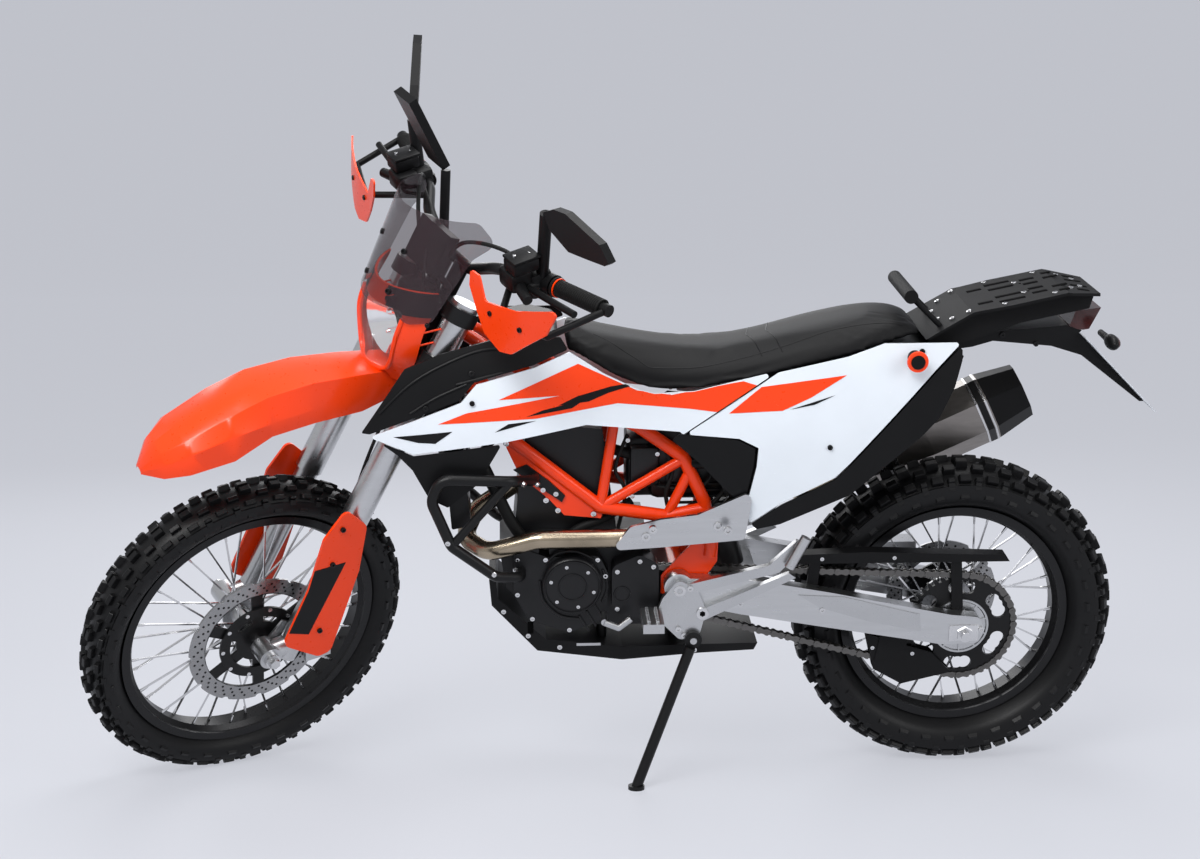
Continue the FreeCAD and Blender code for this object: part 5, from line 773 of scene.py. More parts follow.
# place and width as shares of the half width, phase and length in pitches, height as a share
FRONT_ROWS = [(0.19, 0.27, 0.0, 0.38, 1.0), (0.53, 0.22, 0.5, 0.38, 1.0),
              (0.86, 0.22, 0.0, 0.38, 1.0), (0.91, 0.14, 0.5, 0.22, 0.85)]
REAR_ROWS = [(0.18, 0.28, 0.0, 0.42, 1.0), (0.52, 0.24, 0.5, 0.42, 1.0),
             (0.86, 0.24, 0.0, 0.42, 1.0), (0.90, 0.16, 0.5, 0.26, 0.9)]
knobbly("front_tread", *ON_FRONT_WHEEL, "front_tyre", FRONT_TYRE_RADIUS, FRONT_HALF_WIDTH,
        crown=0.060, rim_radius=0.279, bead=0.0245, lug=0.012, rows=FRONT_ROWS)
knobbly("rear_tread", *ON_REAR_WHEEL, "rear_tyre", REAR_TYRE_RADIUS, REAR_HALF_WIDTH,
        crown=0.095, rim_radius=0.2425, bead=0.0325, lug=0.015, rows=REAR_ROWS)

# %% [markdown]
# Each spoke screws into a nipple that stands in the rim, and hooks into the hub's flange. The
# spokes themselves come with the frame. Their ends are found from its mesh: every loose island
# is one spoke, and the quarters of its points nearest to the axle and farthest from it give its
# line. A small cone at the outer end is the nipple, and a bead at the inner end is the elbow.

# %% Nipples and elbows
NIPPLE_LENGTH = 0.017
ELBOW_LENGTH = 0.009
SUNK = 0.001

for wheel, centre in (("front", front_axle), ("rear", rear_axle)):
    nipples = bmesh.new()
    spokes = node_copy(wheel + "_spokes")
    for points in islands(spokes):
        points.sort(key=lambda point: (point - centre).length)
        quarter = max(1, len(points) // 4)
        inner, outer = middle_of(points[:quarter]), middle_of(points[-quarter:])
        along = (outer - inner).normalized()
        for start, end, radius, end_radius in (
                (outer - along * NIPPLE_LENGTH, outer - along * SUNK, 0.0023, 0.0034),
                (inner + along * SUNK, inner + along * ELBOW_LENGTH, 0.0032, 0.0022)):
            add_rod(nipples, start, end, radius, 6, end_radius)
    spokes.free()
    add_piece(wheel + "_nipples", nipples, Matrix(), wheel + "_wheel", "bright_steel")

# %% [markdown]
# The seat is foam under a tight grippy cover, so it is gently crowned, pulled in along its
# seams and flat only where it rests on the tank cover and tail. Drawing that by hand would be
# slow. Instead the seat's solid is remeshed into small even faces and simulated as cloth with
# a little pressure inside. Its underside is pinned, so that it stays where it rests, and no
# point may move more than a few millimetres, so that it clears its neighbours.

# %% The seat's foam and cover
SEAT_VOXEL = 0.006
SEAT_SWELL = 0.006
SEAT_SHRINK = 0.0025
SEAT_PRESSURE = 4.0
SEAT_STEPS = 20
UNDERSIDE = -0.55
UPPER_SIDE = -0.5


def applied(thing, name):
    """A mesh with the object's modifiers applied."""
    bpy.context.view_layer.update()
    graph = bpy.context.evaluated_depsgraph_get()
    mesh = bpy.data.meshes.new_from_object(thing.evaluated_get(graph))
    mesh.name = name
    return mesh


def remeshed(name, node_name, voxel, shrink):
    """A solid's upper side drawn in a little, remeshed into small even faces."""
    bm = node_copy(node_name)
    bmesh.ops.recalc_face_normals(bm, faces=bm.faces)
    bm.normal_update()
    for vert in bm.verts:
        if vert.normal.dot(UPRIGHT) > UPPER_SIDE:
            vert.co -= vert.normal * shrink
    mesh = bpy.data.meshes.new(name + "_source")
    bm.to_mesh(mesh)
    bm.free()
    source = new_object(name + "_source", mesh)
    remesh = source.modifiers.new("remesh", "REMESH")
    remesh.mode = "VOXEL"
    remesh.voxel_size = voxel
    even = applied(source, name)
    bpy.data.objects.remove(source)
    return even


def swell(thing, held, limit):
    """Blow a soft piece up as cloth, and cap how far each point moves."""
    even = thing.data
    group = thing.vertex_groups.new(name="held")
    group.add([vert.index for vert in even.vertices if held(vert)], 1.0, "REPLACE")
    cloth = thing.modifiers.new("cloth", "CLOTH")
    cloth.settings.vertex_group_mass = "held"
    cloth.settings.use_pressure = True
    cloth.settings.uniform_pressure_force = SEAT_PRESSURE
    cloth.settings.effector_weights.gravity = 0.0
    cloth.settings.quality = 4
    cloth.point_cache.frame_start = 1
    cloth.point_cache.frame_end = SEAT_STEPS
    for step in range(SEAT_STEPS):
        bpy.context.scene.frame_set(step + 1)
    moved = applied(thing, thing.name)
    for vert, start in zip(moved.vertices, even.vertices):
        shift = vert.co - start.co
        if shift.length > limit:
            vert.co = start.co + shift.normalized() * limit
    thing.modifiers.clear()
    thing.data = moved
    bpy.data.meshes.remove(even)
    bpy.context.scene.frame_set(1)


seat = new_object("seat_cushion", remeshed("seat_cushion", "seat", SEAT_VOXEL, SEAT_SHRINK))
swell(seat, lambda vert: vert.normal.dot(UPRIGHT) < UNDERSIDE, SEAT_SWELL)
for polygon in seat.data.polygons:
    polygon.use_smooth = True
round_off = seat.modifiers.new("round", "SUBSURF")
round_off.levels = round_off.render_levels = 1
seat.data.materials.clear()
seat.data.materials.append(MATERIAL["seat_cover"])
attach(seat, "root")
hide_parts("seat")
print("seat faces", len(seat.data.polygons))

# %% [markdown]
# The cover is sewn from a top and two side pieces. The seams run along the top's edges, and
# two more cross the seat where the rider's part ends and the passenger's begins. Each seam is
# a thin welt. Its line is found by dropping rays on the finished seat, so that it lies on the
# real surface, half sunk in it.

# %% Seams of the seat
SEAM_SHARE = 0.080
SEAM_WIDER = 0.024
SEAM_SINK = 0.0004
CROSS_SEAMS = (0.395, 0.435)
CROSS_REACH = 0.102

seat_mesh = applied(seat, "seat_rays")
seat_rays = BVHTree.FromPolygons([BIKE.inverted() @ v.co for v in seat_mesh.vertices],
                                 [list(p.vertices) for p in seat_mesh.polygons])
bpy.data.meshes.remove(seat_mesh)


def add_seam(bm, spots, radius):
    """A welt along the seat below some places of the top view, half sunk in its surface."""
    line = []
    for x, y in spots:
        spot, normal, _, _ = seat_rays.ray_cast(Vector((x, y, 1.3)), Vector((0, 0, -1)))
        if spot:
            line.append(spot - normal * SEAM_SINK)
    add_tube(bm, line, radius, sides=6, steps=2)


def top_seam(x):
    """How far out from the middle the top's seam runs at a place along the seat."""
    wider = SEAM_WIDER * min(1.0, max(0.0, (x - 0.30) / 0.25))
    return (SEAM_SHARE + wider) * (1.0 - 0.55 * max(0.0, (x - 0.66) / 0.12))


welts = bmesh.new()
for side in (1, -1):
    run = [0.150 + step * 0.0213 for step in range(30)]
    add_seam(welts, [(x, side * top_seam(x)) for x in run], 0.0013)
for x in CROSS_SEAMS:
    ways = [step / 6 - 1 for step in range(13)]
    add_seam(welts, [(x + 0.02 * (1 - abs(way)), CROSS_REACH * way) for way in ways], 0.0012)
add_piece("seat_seams", welts, *ON_BIKE, "seat_cover", "black_plastic")

# %% [markdown]
# A roller chain is hundreds of like links, so each link has only a few faces. The chain runs
# straight above and below and bends round the two sprockets. The path is measured once as a
# closed line, and divided into whole links, which come out at the chain's real pitch. Outer
# and inner links take turns. Each is a pair of plates with a narrow waist, and a roller joins
# them at every pin.

# %% Chain
CHAIN_SIDE = 0.088
CHAIN_PITCH = 0.015875
REAR_PITCH_RADIUS = 0.1138
FRONT_PITCH_RADIUS = 0.0407
REAR_SPROCKET = Vector((0.0, CHAIN_SIDE, REAR_TYRE_RADIUS))
FRONT_SPROCKET = Vector((0.6606, CHAIN_SIDE, 0.4460))
ARC_STEPS = 60
PLATE_THICKNESS = 0.0019
OUTER_PLATE, INNER_PLATE = 0.0052, 0.0030
PIN_REACH, PIN_RADIUS = 0.0076, 0.0024
ROLLER_REACH, ROLLER_RADIUS = 0.0029, 0.0048
# the first half of a plate's upper edge, in pitches along it and above its middle
LINK_SHAPE = [(-0.44, 0.0), (-0.30, 0.40), (0.0, 0.46), (0.30, 0.33), (0.5, 0.30)]


def chain_path():
    """The pitch line as closely spaced points, once round."""
    run = FRONT_SPROCKET - REAR_SPROCKET
    slope = math.atan2(run.z, run.x)
    swing = math.acos((REAR_PITCH_RADIUS - FRONT_PITCH_RADIUS) / run.length)
    line = []
    for centre, radius, first, last in (
            (REAR_SPROCKET, REAR_PITCH_RADIUS, slope + swing, slope + FULL_TURN - swing),
            (FRONT_SPROCKET, FRONT_PITCH_RADIUS, slope - swing, slope + swing)):
        for step in range(ARC_STEPS + 1):
            angle = first + (last - first) * step / ARC_STEPS
            line.append(centre + Vector((math.cos(angle), 0, math.sin(angle))) * radius)
    return line


def spaced(line, gap):
    """Points at equal distances along a closed line, a whole number of gaps round it."""
    lengths = [(b - a).length for a, b in zip(line, line[1:] + line[:1])]
    count = 2 * round(sum(lengths) / gap / 2)
    step = sum(lengths) / count
    spots, index, used = [], 0, 0.0
    for number in range(count):
        want = number * step
        while used + lengths[index] < want:
            used += lengths[index]
            index += 1
        start, end = line[index], line[(index + 1) % len(line)]
        spots.append(start.lerp(end, (want - used) / max(lengths[index], 1e-9)))
    return spots


upper = LINK_SHAPE + [(1 - x, z) for x, z in reversed(LINK_SHAPE[:-1])]
link_outline = upper + [(x, -z) for x, z in reversed(upper[1:-1])]
pins = spaced(chain_path(), CHAIN_PITCH)
links = bmesh.new()
for number, (start, end) in enumerate(zip(pins, pins[1:] + pins[:1])):
    along = (end - start).normalized()
    rise = along.cross(Vector((0, 1, 0)))
    offset = OUTER_PLATE if number % 2 else INNER_PLATE
    for low in (offset, -offset - PLATE_THICKNESS):
        outline = [start + (along * x + rise * z) * CHAIN_PITCH + Vector((0, low, 0))
                   for x, z in link_outline]
        add_plate(links, outline, (0, PLATE_THICKNESS, 0))
    for reach, radius, sides in ((PIN_REACH, PIN_RADIUS, 6), (ROLLER_REACH, ROLLER_RADIUS, 8)):
        half = Vector((0, reach, 0))
        add_rod(links, start - half, start + half, radius, sides)
add_piece("chain_links", links, *ON_BIKE, "chain_steel", replaced=("chain",))
print("links", len(pins))

# %% [markdown]
# The engine is a stack of castings. The construction has its main blocks, and this step adds
# what catches the light on them: cooling ribs on the cylinder, the cam cover, raised rims and
# ribs on the side covers, and the water pump. The air box, the throttle bodies and a small
# cover on each side fill the open frame above. All of it is one piece, because it shares a
# finish.

# %% Castings of the engine
COVER_FACE = 0.115
CRANK = Vector((0.814, 0.0, 0.462))
RIB_RADIUS = 0.0032
SIDE_COVER_FACE = 0.1165
# centre, size, edge radius
ENGINE_BLOCKS = [((0.665, 0.070, 0.700), (0.060, 0.030, 0.085), 0.008),
                 ((0.600, 0.078, 0.690), (0.045, 0.014, 0.050), 0.006),
                 ((0.540, 0.0, 0.705), (0.230, 0.150, 0.160), 0.018),
                 ((0.655, 0.0, 0.690), (0.090, 0.110, 0.130), 0.014)]
# ends, radius, sides, radius of the far end
ENGINE_RODS = [((0.905, 0.080, 0.535), (0.905, 0.112, 0.535), 0.027, 24, 0.024),
               ((0.845, 0.080, 0.530), (0.845, 0.106, 0.530), 0.016, 20, 0.016),
               ((0.590, 0.030, 0.690), (0.690, 0.030, 0.690), 0.034, 24, 0.034),
               ((0.600, -0.030, 0.650), (0.690, -0.030, 0.650), 0.030, 24, 0.030)]
# places of the side view
RIB_LINES = [[(0.868, 0.505), (0.845, 0.528), (0.806, 0.532), (0.770, 0.515)],
             [(0.880, 0.470), (0.872, 0.425), (0.840, 0.392), (0.800, 0.384)],
             [(0.752, 0.492), (0.742, 0.455), (0.752, 0.420)]]
SIDE_COVER = [(0.548, 0.782), (0.466, 0.766), (0.442, 0.734), (0.450, 0.652), (0.470, 0.640),
              (0.505, 0.650)]
SIDE_COVER_BARS = [((0.532, 0.742), (0.500, 0.764)), ((0.512, 0.700), (0.462, 0.738))]


def tipped(degrees):
    """A turn about the machine's Y."""
    return Matrix.Rotation(math.radians(degrees), 4, "Y")


def cover_rim(bm, centre, radius, y, width, height, sides):
    """A raised ring on a cover, from a spun section."""
    section = [(radius - width, 0), (radius - width * 0.7, height),
               (radius - width * 0.3, height), (radius, 0)]
    ring = add_spun(bm, [(r, h, 0) for r, h in section], (0, 1, 0), sides, closed=False)
    bmesh.ops.translate(bm, vec=Vector((centre[0], y, centre[2])), verts=ring)


castings = bmesh.new()
cover_rim(castings, CRANK, 0.058, COVER_FACE + 0.0185, 0.004, 0.004, 40)
cover_rim(castings, CRANK, 0.030, COVER_FACE + 0.0185, 0.003, 0.003, 40)
cover_rim(castings, (0.712, 0, 0.440), 0.018, COVER_FACE + 0.007, 0.004, 0.003, 24)
add_box(castings, (0.545, 0.0, 0.735), (0.100, 0.158, 0.060), tipped(-8), 0.010)
for centre, size, edge in ENGINE_BLOCKS:
    add_box(castings, centre, size, bevel=edge)
for start, end, radius, sides, end_radius in ENGINE_RODS:
    add_rod(castings, start, end, radius, sides, end_radius)
for x, z in ((0.760, 0.400), (0.775, 0.384), (0.790, 0.374)):
    add_box(castings, (x, COVER_FACE + 0.001, z), (0.004, 0.006, 0.040), tipped(30), 0.001)
for line in RIB_LINES:
    add_tube(castings, [(x, COVER_FACE + 0.001, z) for x, z in line], RIB_RADIUS, 8, 6)
for side in (1, -1):
    for index in range(7):
        add_box(castings, (0.552, side * 0.0755, 0.580 + index * 0.0135),
                (0.118, 0.010, 0.0035), bevel=0.0008)
    add_plate(castings, [(x, side * SIDE_COVER_FACE, z) for x, z in SIDE_COVER],
              (0, side * 0.003, 0))
    for ends in SIDE_COVER_BARS:
        start, end = [(x, side * (SIDE_COVER_FACE + 0.003), z) for x, z in ends]
        add_rod(castings, start, end, 0.0020, 8)
add_piece("engine_castings", castings, *ON_BIKE, "black_metal", "engine_black")

# %% [markdown]
# Screws are small, but a row of bright heads is what tells an engine from a box. They stand
# along the edges of the covers, at the frame's joints, on the heat shield and on what is
# bolted to the engine.

# %% Screws
LEFT_WAY = Vector((0, 1, 0))
# face, radius, height if it isn't the usual one, places of the side view
SCREW_GROUPS = [
    (COVER_FACE + 0.0005, 0.0052, None,
     [(0.9235, 0.540), (0.868, 0.516), (0.762, 0.514), (0.746, 0.478), (0.750, 0.392),
      (0.820, 0.360), (0.896, 0.386), (0.926, 0.440), (0.930, 0.495)]),
    (COVER_FACE + 0.0078, 0.0052, None,
     [(0.722, 0.490), (0.676, 0.512), (0.648, 0.500), (0.646, 0.402), (0.722, 0.408)]),
    (COVER_FACE + 0.0188, 0.0040, None,
     [(CRANK.x + 0.045 * math.cos(angle), CRANK.z + 0.045 * math.sin(angle))
      for angle in around(6, 0.25)]),
    (0.1122, 0.0042, None, [(0.880, 0.548), (0.918, 0.556), (0.925, 0.515)]),
    (0.1010, 0.0060, None,
     [(0.945, 0.762), (0.900, 0.682), (0.866, 0.640), (0.770, 0.609), (0.842, 0.618)]),
    (0.1455, 0.0130, 0.006, [(0.596, 0.456)]),
    (0.1865, 0.0085, 0.004, [(0.655, 0.605), (0.505, 0.600)]),
    (0.0855, 0.0048, None,
     [(0.690, 0.640), (0.700, 0.760), (0.585, 0.655), (0.640, 0.730), (0.520, 0.600)])]
screws = bmesh.new()
for y, radius, height, places in SCREW_GROUPS:
    for x, z in places:
        add_screw(screws, (x, y, z), LEFT_WAY, radius, height)
add_piece("engine_screws", screws, *ON_BIKE, "bright_steel")

# %% [markdown]
# Hoses and looms run where they are clipped, so they are fixed parts and not free cords. Each
# is a tube along a smooth line that starts and ends inside what it joins.

# %% Hoses and looms
WATER_HOSES = [
    ([(0.905, 0.088, 0.540), (0.935, 0.088, 0.585), (0.962, 0.080, 0.640),
      (0.990, 0.070, 0.700)], 0.0125),
    ([(0.845, 0.085, 0.535), (0.800, 0.088, 0.572), (0.745, 0.080, 0.592),
      (0.690, 0.060, 0.620)], 0.0095),
    ([(0.690, 0.060, 0.720), (0.755, 0.062, 0.740), (0.830, 0.060, 0.748),
      (0.900, 0.050, 0.770)], 0.0115)]
LOOMS = [
    ([(0.640, 0.080, 0.770), (0.610, 0.092, 0.700), (0.622, 0.090, 0.640),
      (0.600, 0.084, 0.560)], 0.0045),
    ([(0.700, 0.078, 0.770), (0.725, 0.086, 0.700), (0.705, 0.086, 0.650),
      (0.720, 0.080, 0.560)], 0.0040),
    ([(0.505, 0.080, 0.760), (0.480, 0.084, 0.700), (0.510, 0.088, 0.640),
      (0.560, 0.084, 0.590)], 0.0050),
    ([(0.560, 0.084, 0.740), (0.530, 0.090, 0.690), (0.560, 0.090, 0.655),
      (0.640, 0.086, 0.660)], 0.0038)]
hoses = bmesh.new()
for routes, sides in ((WATER_HOSES, 12), (LOOMS, 8)):
    for route, radius in routes:
        add_tube(hoses, route, radius, sides, 6)
add_piece("hoses", hoses, *ON_BIKE, "black_plastic", "grip_rubber")

# %% [markdown]
# The headlamp shows clear plastic in front and chrome behind it. The frame has the lens and
# the mask. A reflector, which is a spun bowl, and two bulbs go behind the lens, so that it
# has something to show. They are made in the fork's own frame, straight ahead.

# %% Headlamp
LAMP_NOSE = 1.214
LAMP_HEIGHT = 1.010
LAMP_RADIUS = 0.066
LAMP_DEPTH = 0.052
LAMP_STEPS = 6
BULBS = ((1.030, 0.011), (0.985, 0.008))

lamp = bmesh.new()
shares = [step / LAMP_STEPS for step in range(LAMP_STEPS + 1)]
bowl = [(LAMP_NOSE - LAMP_RADIUS + LAMP_DEPTH * share ** 1.8, 0, LAMP_RADIUS * share)
        for share in shares]
add_spun(lamp, bowl, (1, 0, 0), 20, closed=False)
bmesh.ops.remove_doubles(lamp, verts=lamp.verts, dist=0.00001)
bmesh.ops.scale(lamp, vec=(1, 1.06, 1), verts=lamp.verts)
bmesh.ops.translate(lamp, vec=(0, 0, LAMP_HEIGHT), verts=lamp.verts)
add_piece("lamp_reflector", lamp, *ON_FORK, "bright_steel", "chrome")
bulbs = bmesh.new()
for z, radius in BULBS:
    for start, end, first, last in ((0.070, 0.030, 1.0, 0.8), (0.031, 0.024, 0.8, 0.4)):
        add_rod(bulbs, (LAMP_NOSE - start, 0, z), (LAMP_NOSE - end, 0, z), radius * first, 18,
                radius * last)
add_piece("lamp_bulbs", bulbs, *ON_FORK, "bright_steel", "chrome")

# %% [markdown]
# A thin orange bezel frames the lamp. Its line follows the lens's own edge, seen from ahead,
# and rays from the front put it on the surface.

# %% Lamp bezel
BEZEL = [(0.046, 0.932), (0.066, 0.960), (0.078, 1.016), (0.080, 1.058)]
BEZEL_LOW = (0.0, 0.928)
LENS_LOW = 0.939
BEZEL_SINK = 0.003
BEZEL_RADIUS = 0.0050

lens = node_copy("headlight_lens", FORK)
lens_tree = BVHTree.FromBMesh(lens)
lens.free()
bezel_line = []
for y, z in [(-y, z) for y, z in reversed(BEZEL)] + [BEZEL_LOW] + BEZEL:
    spot = lens_tree.ray_cast(Vector((1.6, y * 0.93, max(z, LENS_LOW))), Vector((-1, 0, 0)))[0]
    if spot is not None:
        bezel_line.append((spot.x - BEZEL_SINK, y, z))
bezel = bmesh.new()
add_tube(bezel, bezel_line, BEZEL_RADIUS)
add_piece("lamp_bezel", bezel, *ON_FORK, "orange_plastic")

# %% [markdown]
# Each end of the bar carries a switch box and a master cylinder with its reservoir, and a dark
# shell closes the lamp behind the mask. All of them are boxes and rods with broken edges.

# %% Bar controls and lamp shell
# centre on the left side, size, edge radius
CONTROL_BOXES = [((1.036, 0.240, 1.224), (0.056, 0.044, 0.026), 0.005),
                 ((1.037, 0.240, 1.240), (0.058, 0.046, 0.006), 0.002),
                 ((1.040, 0.228, 1.190), (0.046, 0.056, 0.040), 0.008),
                 ((0.996, 0.238, 1.176), (0.050, 0.040, 0.056), 0.010),
                 ((0.972, 0.236, 1.182), (0.012, 0.020, 0.012), 0.003)]
bar_parts, bar_screws = bmesh.new(), bmesh.new()
for side in (1, -1):
    for (x, y, z), size, edge in CONTROL_BOXES:
        add_box(bar_parts, (x, side * y, z), size, tipped(8), edge)
    add_rod(bar_parts, (1.040, side * 0.225, 1.186), (1.052, side * 0.296, 1.176), 0.0125, 20,
            0.0100)
    for x in (1.020, 1.053):
        add_screw(bar_screws, (x, side * 0.240, 1.2425), (0, 0, 1), 0.0034)
add_box(bar_parts, (1.110, 0.0, 1.005), (0.060, 0.140, 0.130), bevel=0.020)
add_piece("bar_controls", bar_parts, *ON_FORK, "black_plastic")
add_piece("bar_screws", bar_screws, *ON_FORK, "bright_steel")

# %% [markdown]
# The grips are rubber sleeves with ribs round them and a flange at the inner end. A section
# with small ridges is spun round each bar's own line, which comes from the grip's mesh: its
# two farthest ends. A thin orange ring marks the inner end of each.

# %% Grips
GRIP_CORE, GRIP_GROOVE, GRIP_RADIUS, FLANGE_RADIUS = 0.0135, 0.0158, 0.0172, 0.0205
GRIP_RIBS = 22
GRIP_HALF = 0.045
BAR_MIDDLE = FORK @ Vector((0.90, 0, 1.2))


def grip_section(half):
    """A sleeve's section as radius and place along it, from its outer end to its flange."""
    section = [(GRIP_CORE, -half), (GRIP_RADIUS, -half), (GRIP_RADIUS, -half + 0.004)]
    for index in range(GRIP_RIBS):
        z = -half + 0.006 + (2 * half - 0.016) * index / GRIP_RIBS
        section += [(GRIP_GROOVE, z), (GRIP_RADIUS, z + 0.0012), (GRIP_RADIUS, z + 0.0030),
                    (GRIP_GROOVE, z + 0.0042)]
    return section + [(0.0165, half - 0.007), (FLANGE_RADIUS, half - 0.005),
                      (FLANGE_RADIUS, half - 0.001), (GRIP_CORE, half)]


sleeves, collars = bmesh.new(), bmesh.new()
grips = node_copy("grips")
for points in islands(grips):
    middle = middle_of(points)
    far = max(points, key=lambda point: (point - middle).length)
    ends = [middle_of([point for point in points if ((point - far).length < GRIP_HALF) == near])
            for near in (True, False)]
    outer, inner = sorted(ends, key=lambda end: -(end - BAR_MIDDLE).length)
    half = (inner - outer).length / 2
    place = facing((outer + inner) / 2, inner - outer)
    collar = [(0.0175, half - 0.0105), (0.0192, half - 0.0105), (0.0192, half - 0.0075),
              (0.0175, half - 0.0075)]
    for target, section in ((sleeves, grip_section(half)), (collars, collar)):
        ring = add_spun(target, [(r, 0, z) for r, z in section], (0, 0, 1), 28)
        bmesh.ops.transform(target, matrix=place, verts=ring)
grips.free()
add_piece("grip_sleeves", sleeves, Matrix(), "steering", "grip_rubber", replaced=("grips",))
add_piece("grip_collars", collars, Matrix(), "steering", "orange_plastic")

# %% [markdown]
# Screws on curved parts have to stand square to the surface. A ray from the side of the
# upright machine finds the surface and its direction, so each screw is named by its place in
# the side view only. Rays from ahead place the screws of the screen and the hand guards.

# %% Finding surfaces
BESIDE = 0.9
AHEAD_OF_IT = 1.6
ABOVE_IT = 1.5
ray_trees = {}


def surface(node_name, matrix):
    """A tree of a part's faces in the upright frame, made once."""
    key = (node_name, id(matrix))
    if key not in ray_trees:
        bm = node_copy(node_name, matrix)
        ray_trees[key] = BVHTree.FromBMesh(bm)
        bm.free()
    return ray_trees[key]


def hit(node_name, matrix, start, direction):
    """Where a ray meets a part, and the surface's direction there, or None."""
    direction = Vector(direction)
    spot, normal, _, _ = surface(node_name, matrix).ray_cast(Vector(start), direction)
    if spot is None:
        return None
    return spot, -normal if normal.dot(direction) > 0 else normal


def hit_side(node_name, matrix, x, z, side):
    """What a ray from one side meets, at a place of the side view in millimetres."""
    return hit(node_name, matrix, (x / 1000, side * BESIDE, z / 1000), (0, -side, 0))


def screw_on(bm, found, radius, height=None):
    """A screw where a ray met a part, if it did."""
    if found:
        add_screw(bm, *found, radius, height)


# %% Screws on panels, guards and brackets
BOTH, NEAR = (1, -1), (1,)
# part, radius, height if it isn't the usual one, sides, places of the side view
BRIGHT_SCREWS = [
    ("heat_shield", 0.0095, 0.004, NEAR, [(667, 580), (522, 600)]),
    ("foot_brackets", 0.0065, None, BOTH, [(575, 462), (598, 372), (586, 358)]),
    ("crash_bars", 0.0055, None, BOTH,
     [(846, 655), (884, 684), (872, 664), (912, 700), (1062, 592), (974, 515)]),
    ("skid_plate", 0.0055, None, BOTH, [(955, 400), (905, 345), (840, 318), (560, 306)]),
    ("chain_guards", 0.0045, None, NEAR, [(150, 505), (300, 505), (100, 285), (185, 300)]),
    ("swingarm", 0.0060, None, BOTH, [(470, 420), (300, 402), (-34, 352)])]
DARK_SCREWS = [
    ("front_panels", 0.0055, None, BOTH, [(1010, 868), (476, 800)]),
    ("rear_panels", 0.0055, None, BOTH, [(120, 950), (300, 760)]),
    ("shrouds", 0.0058, None, BOTH, [(1100, 860), (1010, 925), (1130, 715), (1110, 690)]),
    ("tail_section", 0.0055, None, BOTH, [(-60, 960), (-130, 940), (-200, 905)])]
FORK_SCREWS = [
    ("fork_guards", 0.0058, None, BOTH, [(1372, 560), (1350, 640), (1400, 400)]),
    ("front_caliper", 0.0058, None, NEAR, [(1335, 300), (1325, 350), (1372, 355)]),
    ("fork_legs", 0.0060, None, BOTH, [(1478, 330)]),
    ("headlight_mask", 0.0050, None, BOTH, [(1170, 960), (1160, 1050)])]
# part, radius, distance from the middle, height
FRONT_FIXINGS = [("windscreen", 0.0062, 0.046, 1.105), ("windscreen", 0.0062, 0.046, 1.185),
                 ("handguards", 0.0055, 0.262, 1.145), ("handguards", 0.0055, 0.345, 1.150)]


def screws_on(matrix, groups):
    """All the screws of some groups, as one shape."""
    bm = bmesh.new()
    for node_name, radius, height, sides, places in groups:
        for side in sides:
            for x, z in places:
                screw_on(bm, hit_side(node_name, matrix, x, z, side), radius, height)
    return bm


add_piece("bright_screws", screws_on(BIKE, BRIGHT_SCREWS), *ON_BIKE, "bright_steel")
add_piece("dark_screws", screws_on(BIKE, DARK_SCREWS), *ON_BIKE, "black_metal")
fork_screws = screws_on(FORK, FORK_SCREWS)
for node_name, radius, y, z in FRONT_FIXINGS:
    for side in BOTH:
        found = hit(node_name, FORK, (AHEAD_OF_IT, side * y, z), (-1, 0, 0))
        screw_on(fork_screws, found, radius, 0.003)
add_piece("fork_screws", fork_screws, *ON_FORK, "black_metal")

# %% [markdown]
# Bands hold the silencer to its end cap and to its bracket. A band is a slice of the silencer
# itself: a copy of its mesh is cut by two planes square to its run, and what is left between
# them is raised off the surface, so it fits the faceted body exactly.

# %% Bands round the silencer
SILENCER_START = Vector((0.165, 0, 0.632))
SILENCER_END = Vector((-0.087, 0, 0.752))
SILENCER_RUN = (SILENCER_END - SILENCER_START).normalized()
# each row: middle along the silencer, width, thickness
STEEL_BANDS = [(0.254, 0.004, 0.0016), (0.274, 0.004, 0.0016), (0.020, 0.012, 0.0016),
               (0.052, 0.008, 0.0016)]
DARK_BANDS = [(0.264, 0.014, 0.0009), (0.036, 0.014, 0.0009)]


def slices(rows):
    """Raised slices of the silencer, each between two planes across its run."""
    whole = bmesh.new()
    for along, width, thickness in rows:
        part = node_copy("silencer", BIKE)
        for end, sign in ((along - width / 2, -1), (along + width / 2, 1)):
            cut(part, SILENCER_START + SILENCER_RUN * end, SILENCER_RUN * sign)
        part.normal_update()
        inner = [face for face in part.faces if abs(face.normal.dot(SILENCER_RUN)) > 0.8]
        bmesh.ops.delete(part, geom=inner, context="FACES")
        lift(part, thickness)
        bmesh.ops.solidify(part, geom=part.faces[:], thickness=thickness)
        pour(part, whole)
    return whole


add_piece("silencer_bands", slices(STEEL_BANDS), *ON_BIKE, "bright_steel")
add_piece("silencer_clamp", slices(DARK_BANDS), *ON_BIKE, "black_metal")

# %% [markdown]
# The brake discs are ground steel rings with holes, on a dark carrier. The frame's disc is one
# solid, so a thin dark skin made from its own faces covers the carrier, cut to a many-sided
# circle with bisect_plane. The holes are not cut: short dark plugs through the ring, in three
# circles, each turned a little against the one inside it, are painted shade where the holes are.

# %% Disc carriers and holes
DISC_HOLES = 36
HOLE_RADIUS = 0.0027
HOLE_REACH = 0.0025
SPIRAL = 0.33
SKIN_LIFT = 0.0005
CIRCLE_SIDES = 24


def from_axle(angle, radius, side):
    """A point of a wheel's own frame at an angle round the axle."""
    return Vector((math.sin(angle) * radius, side, math.cos(angle) * radius))


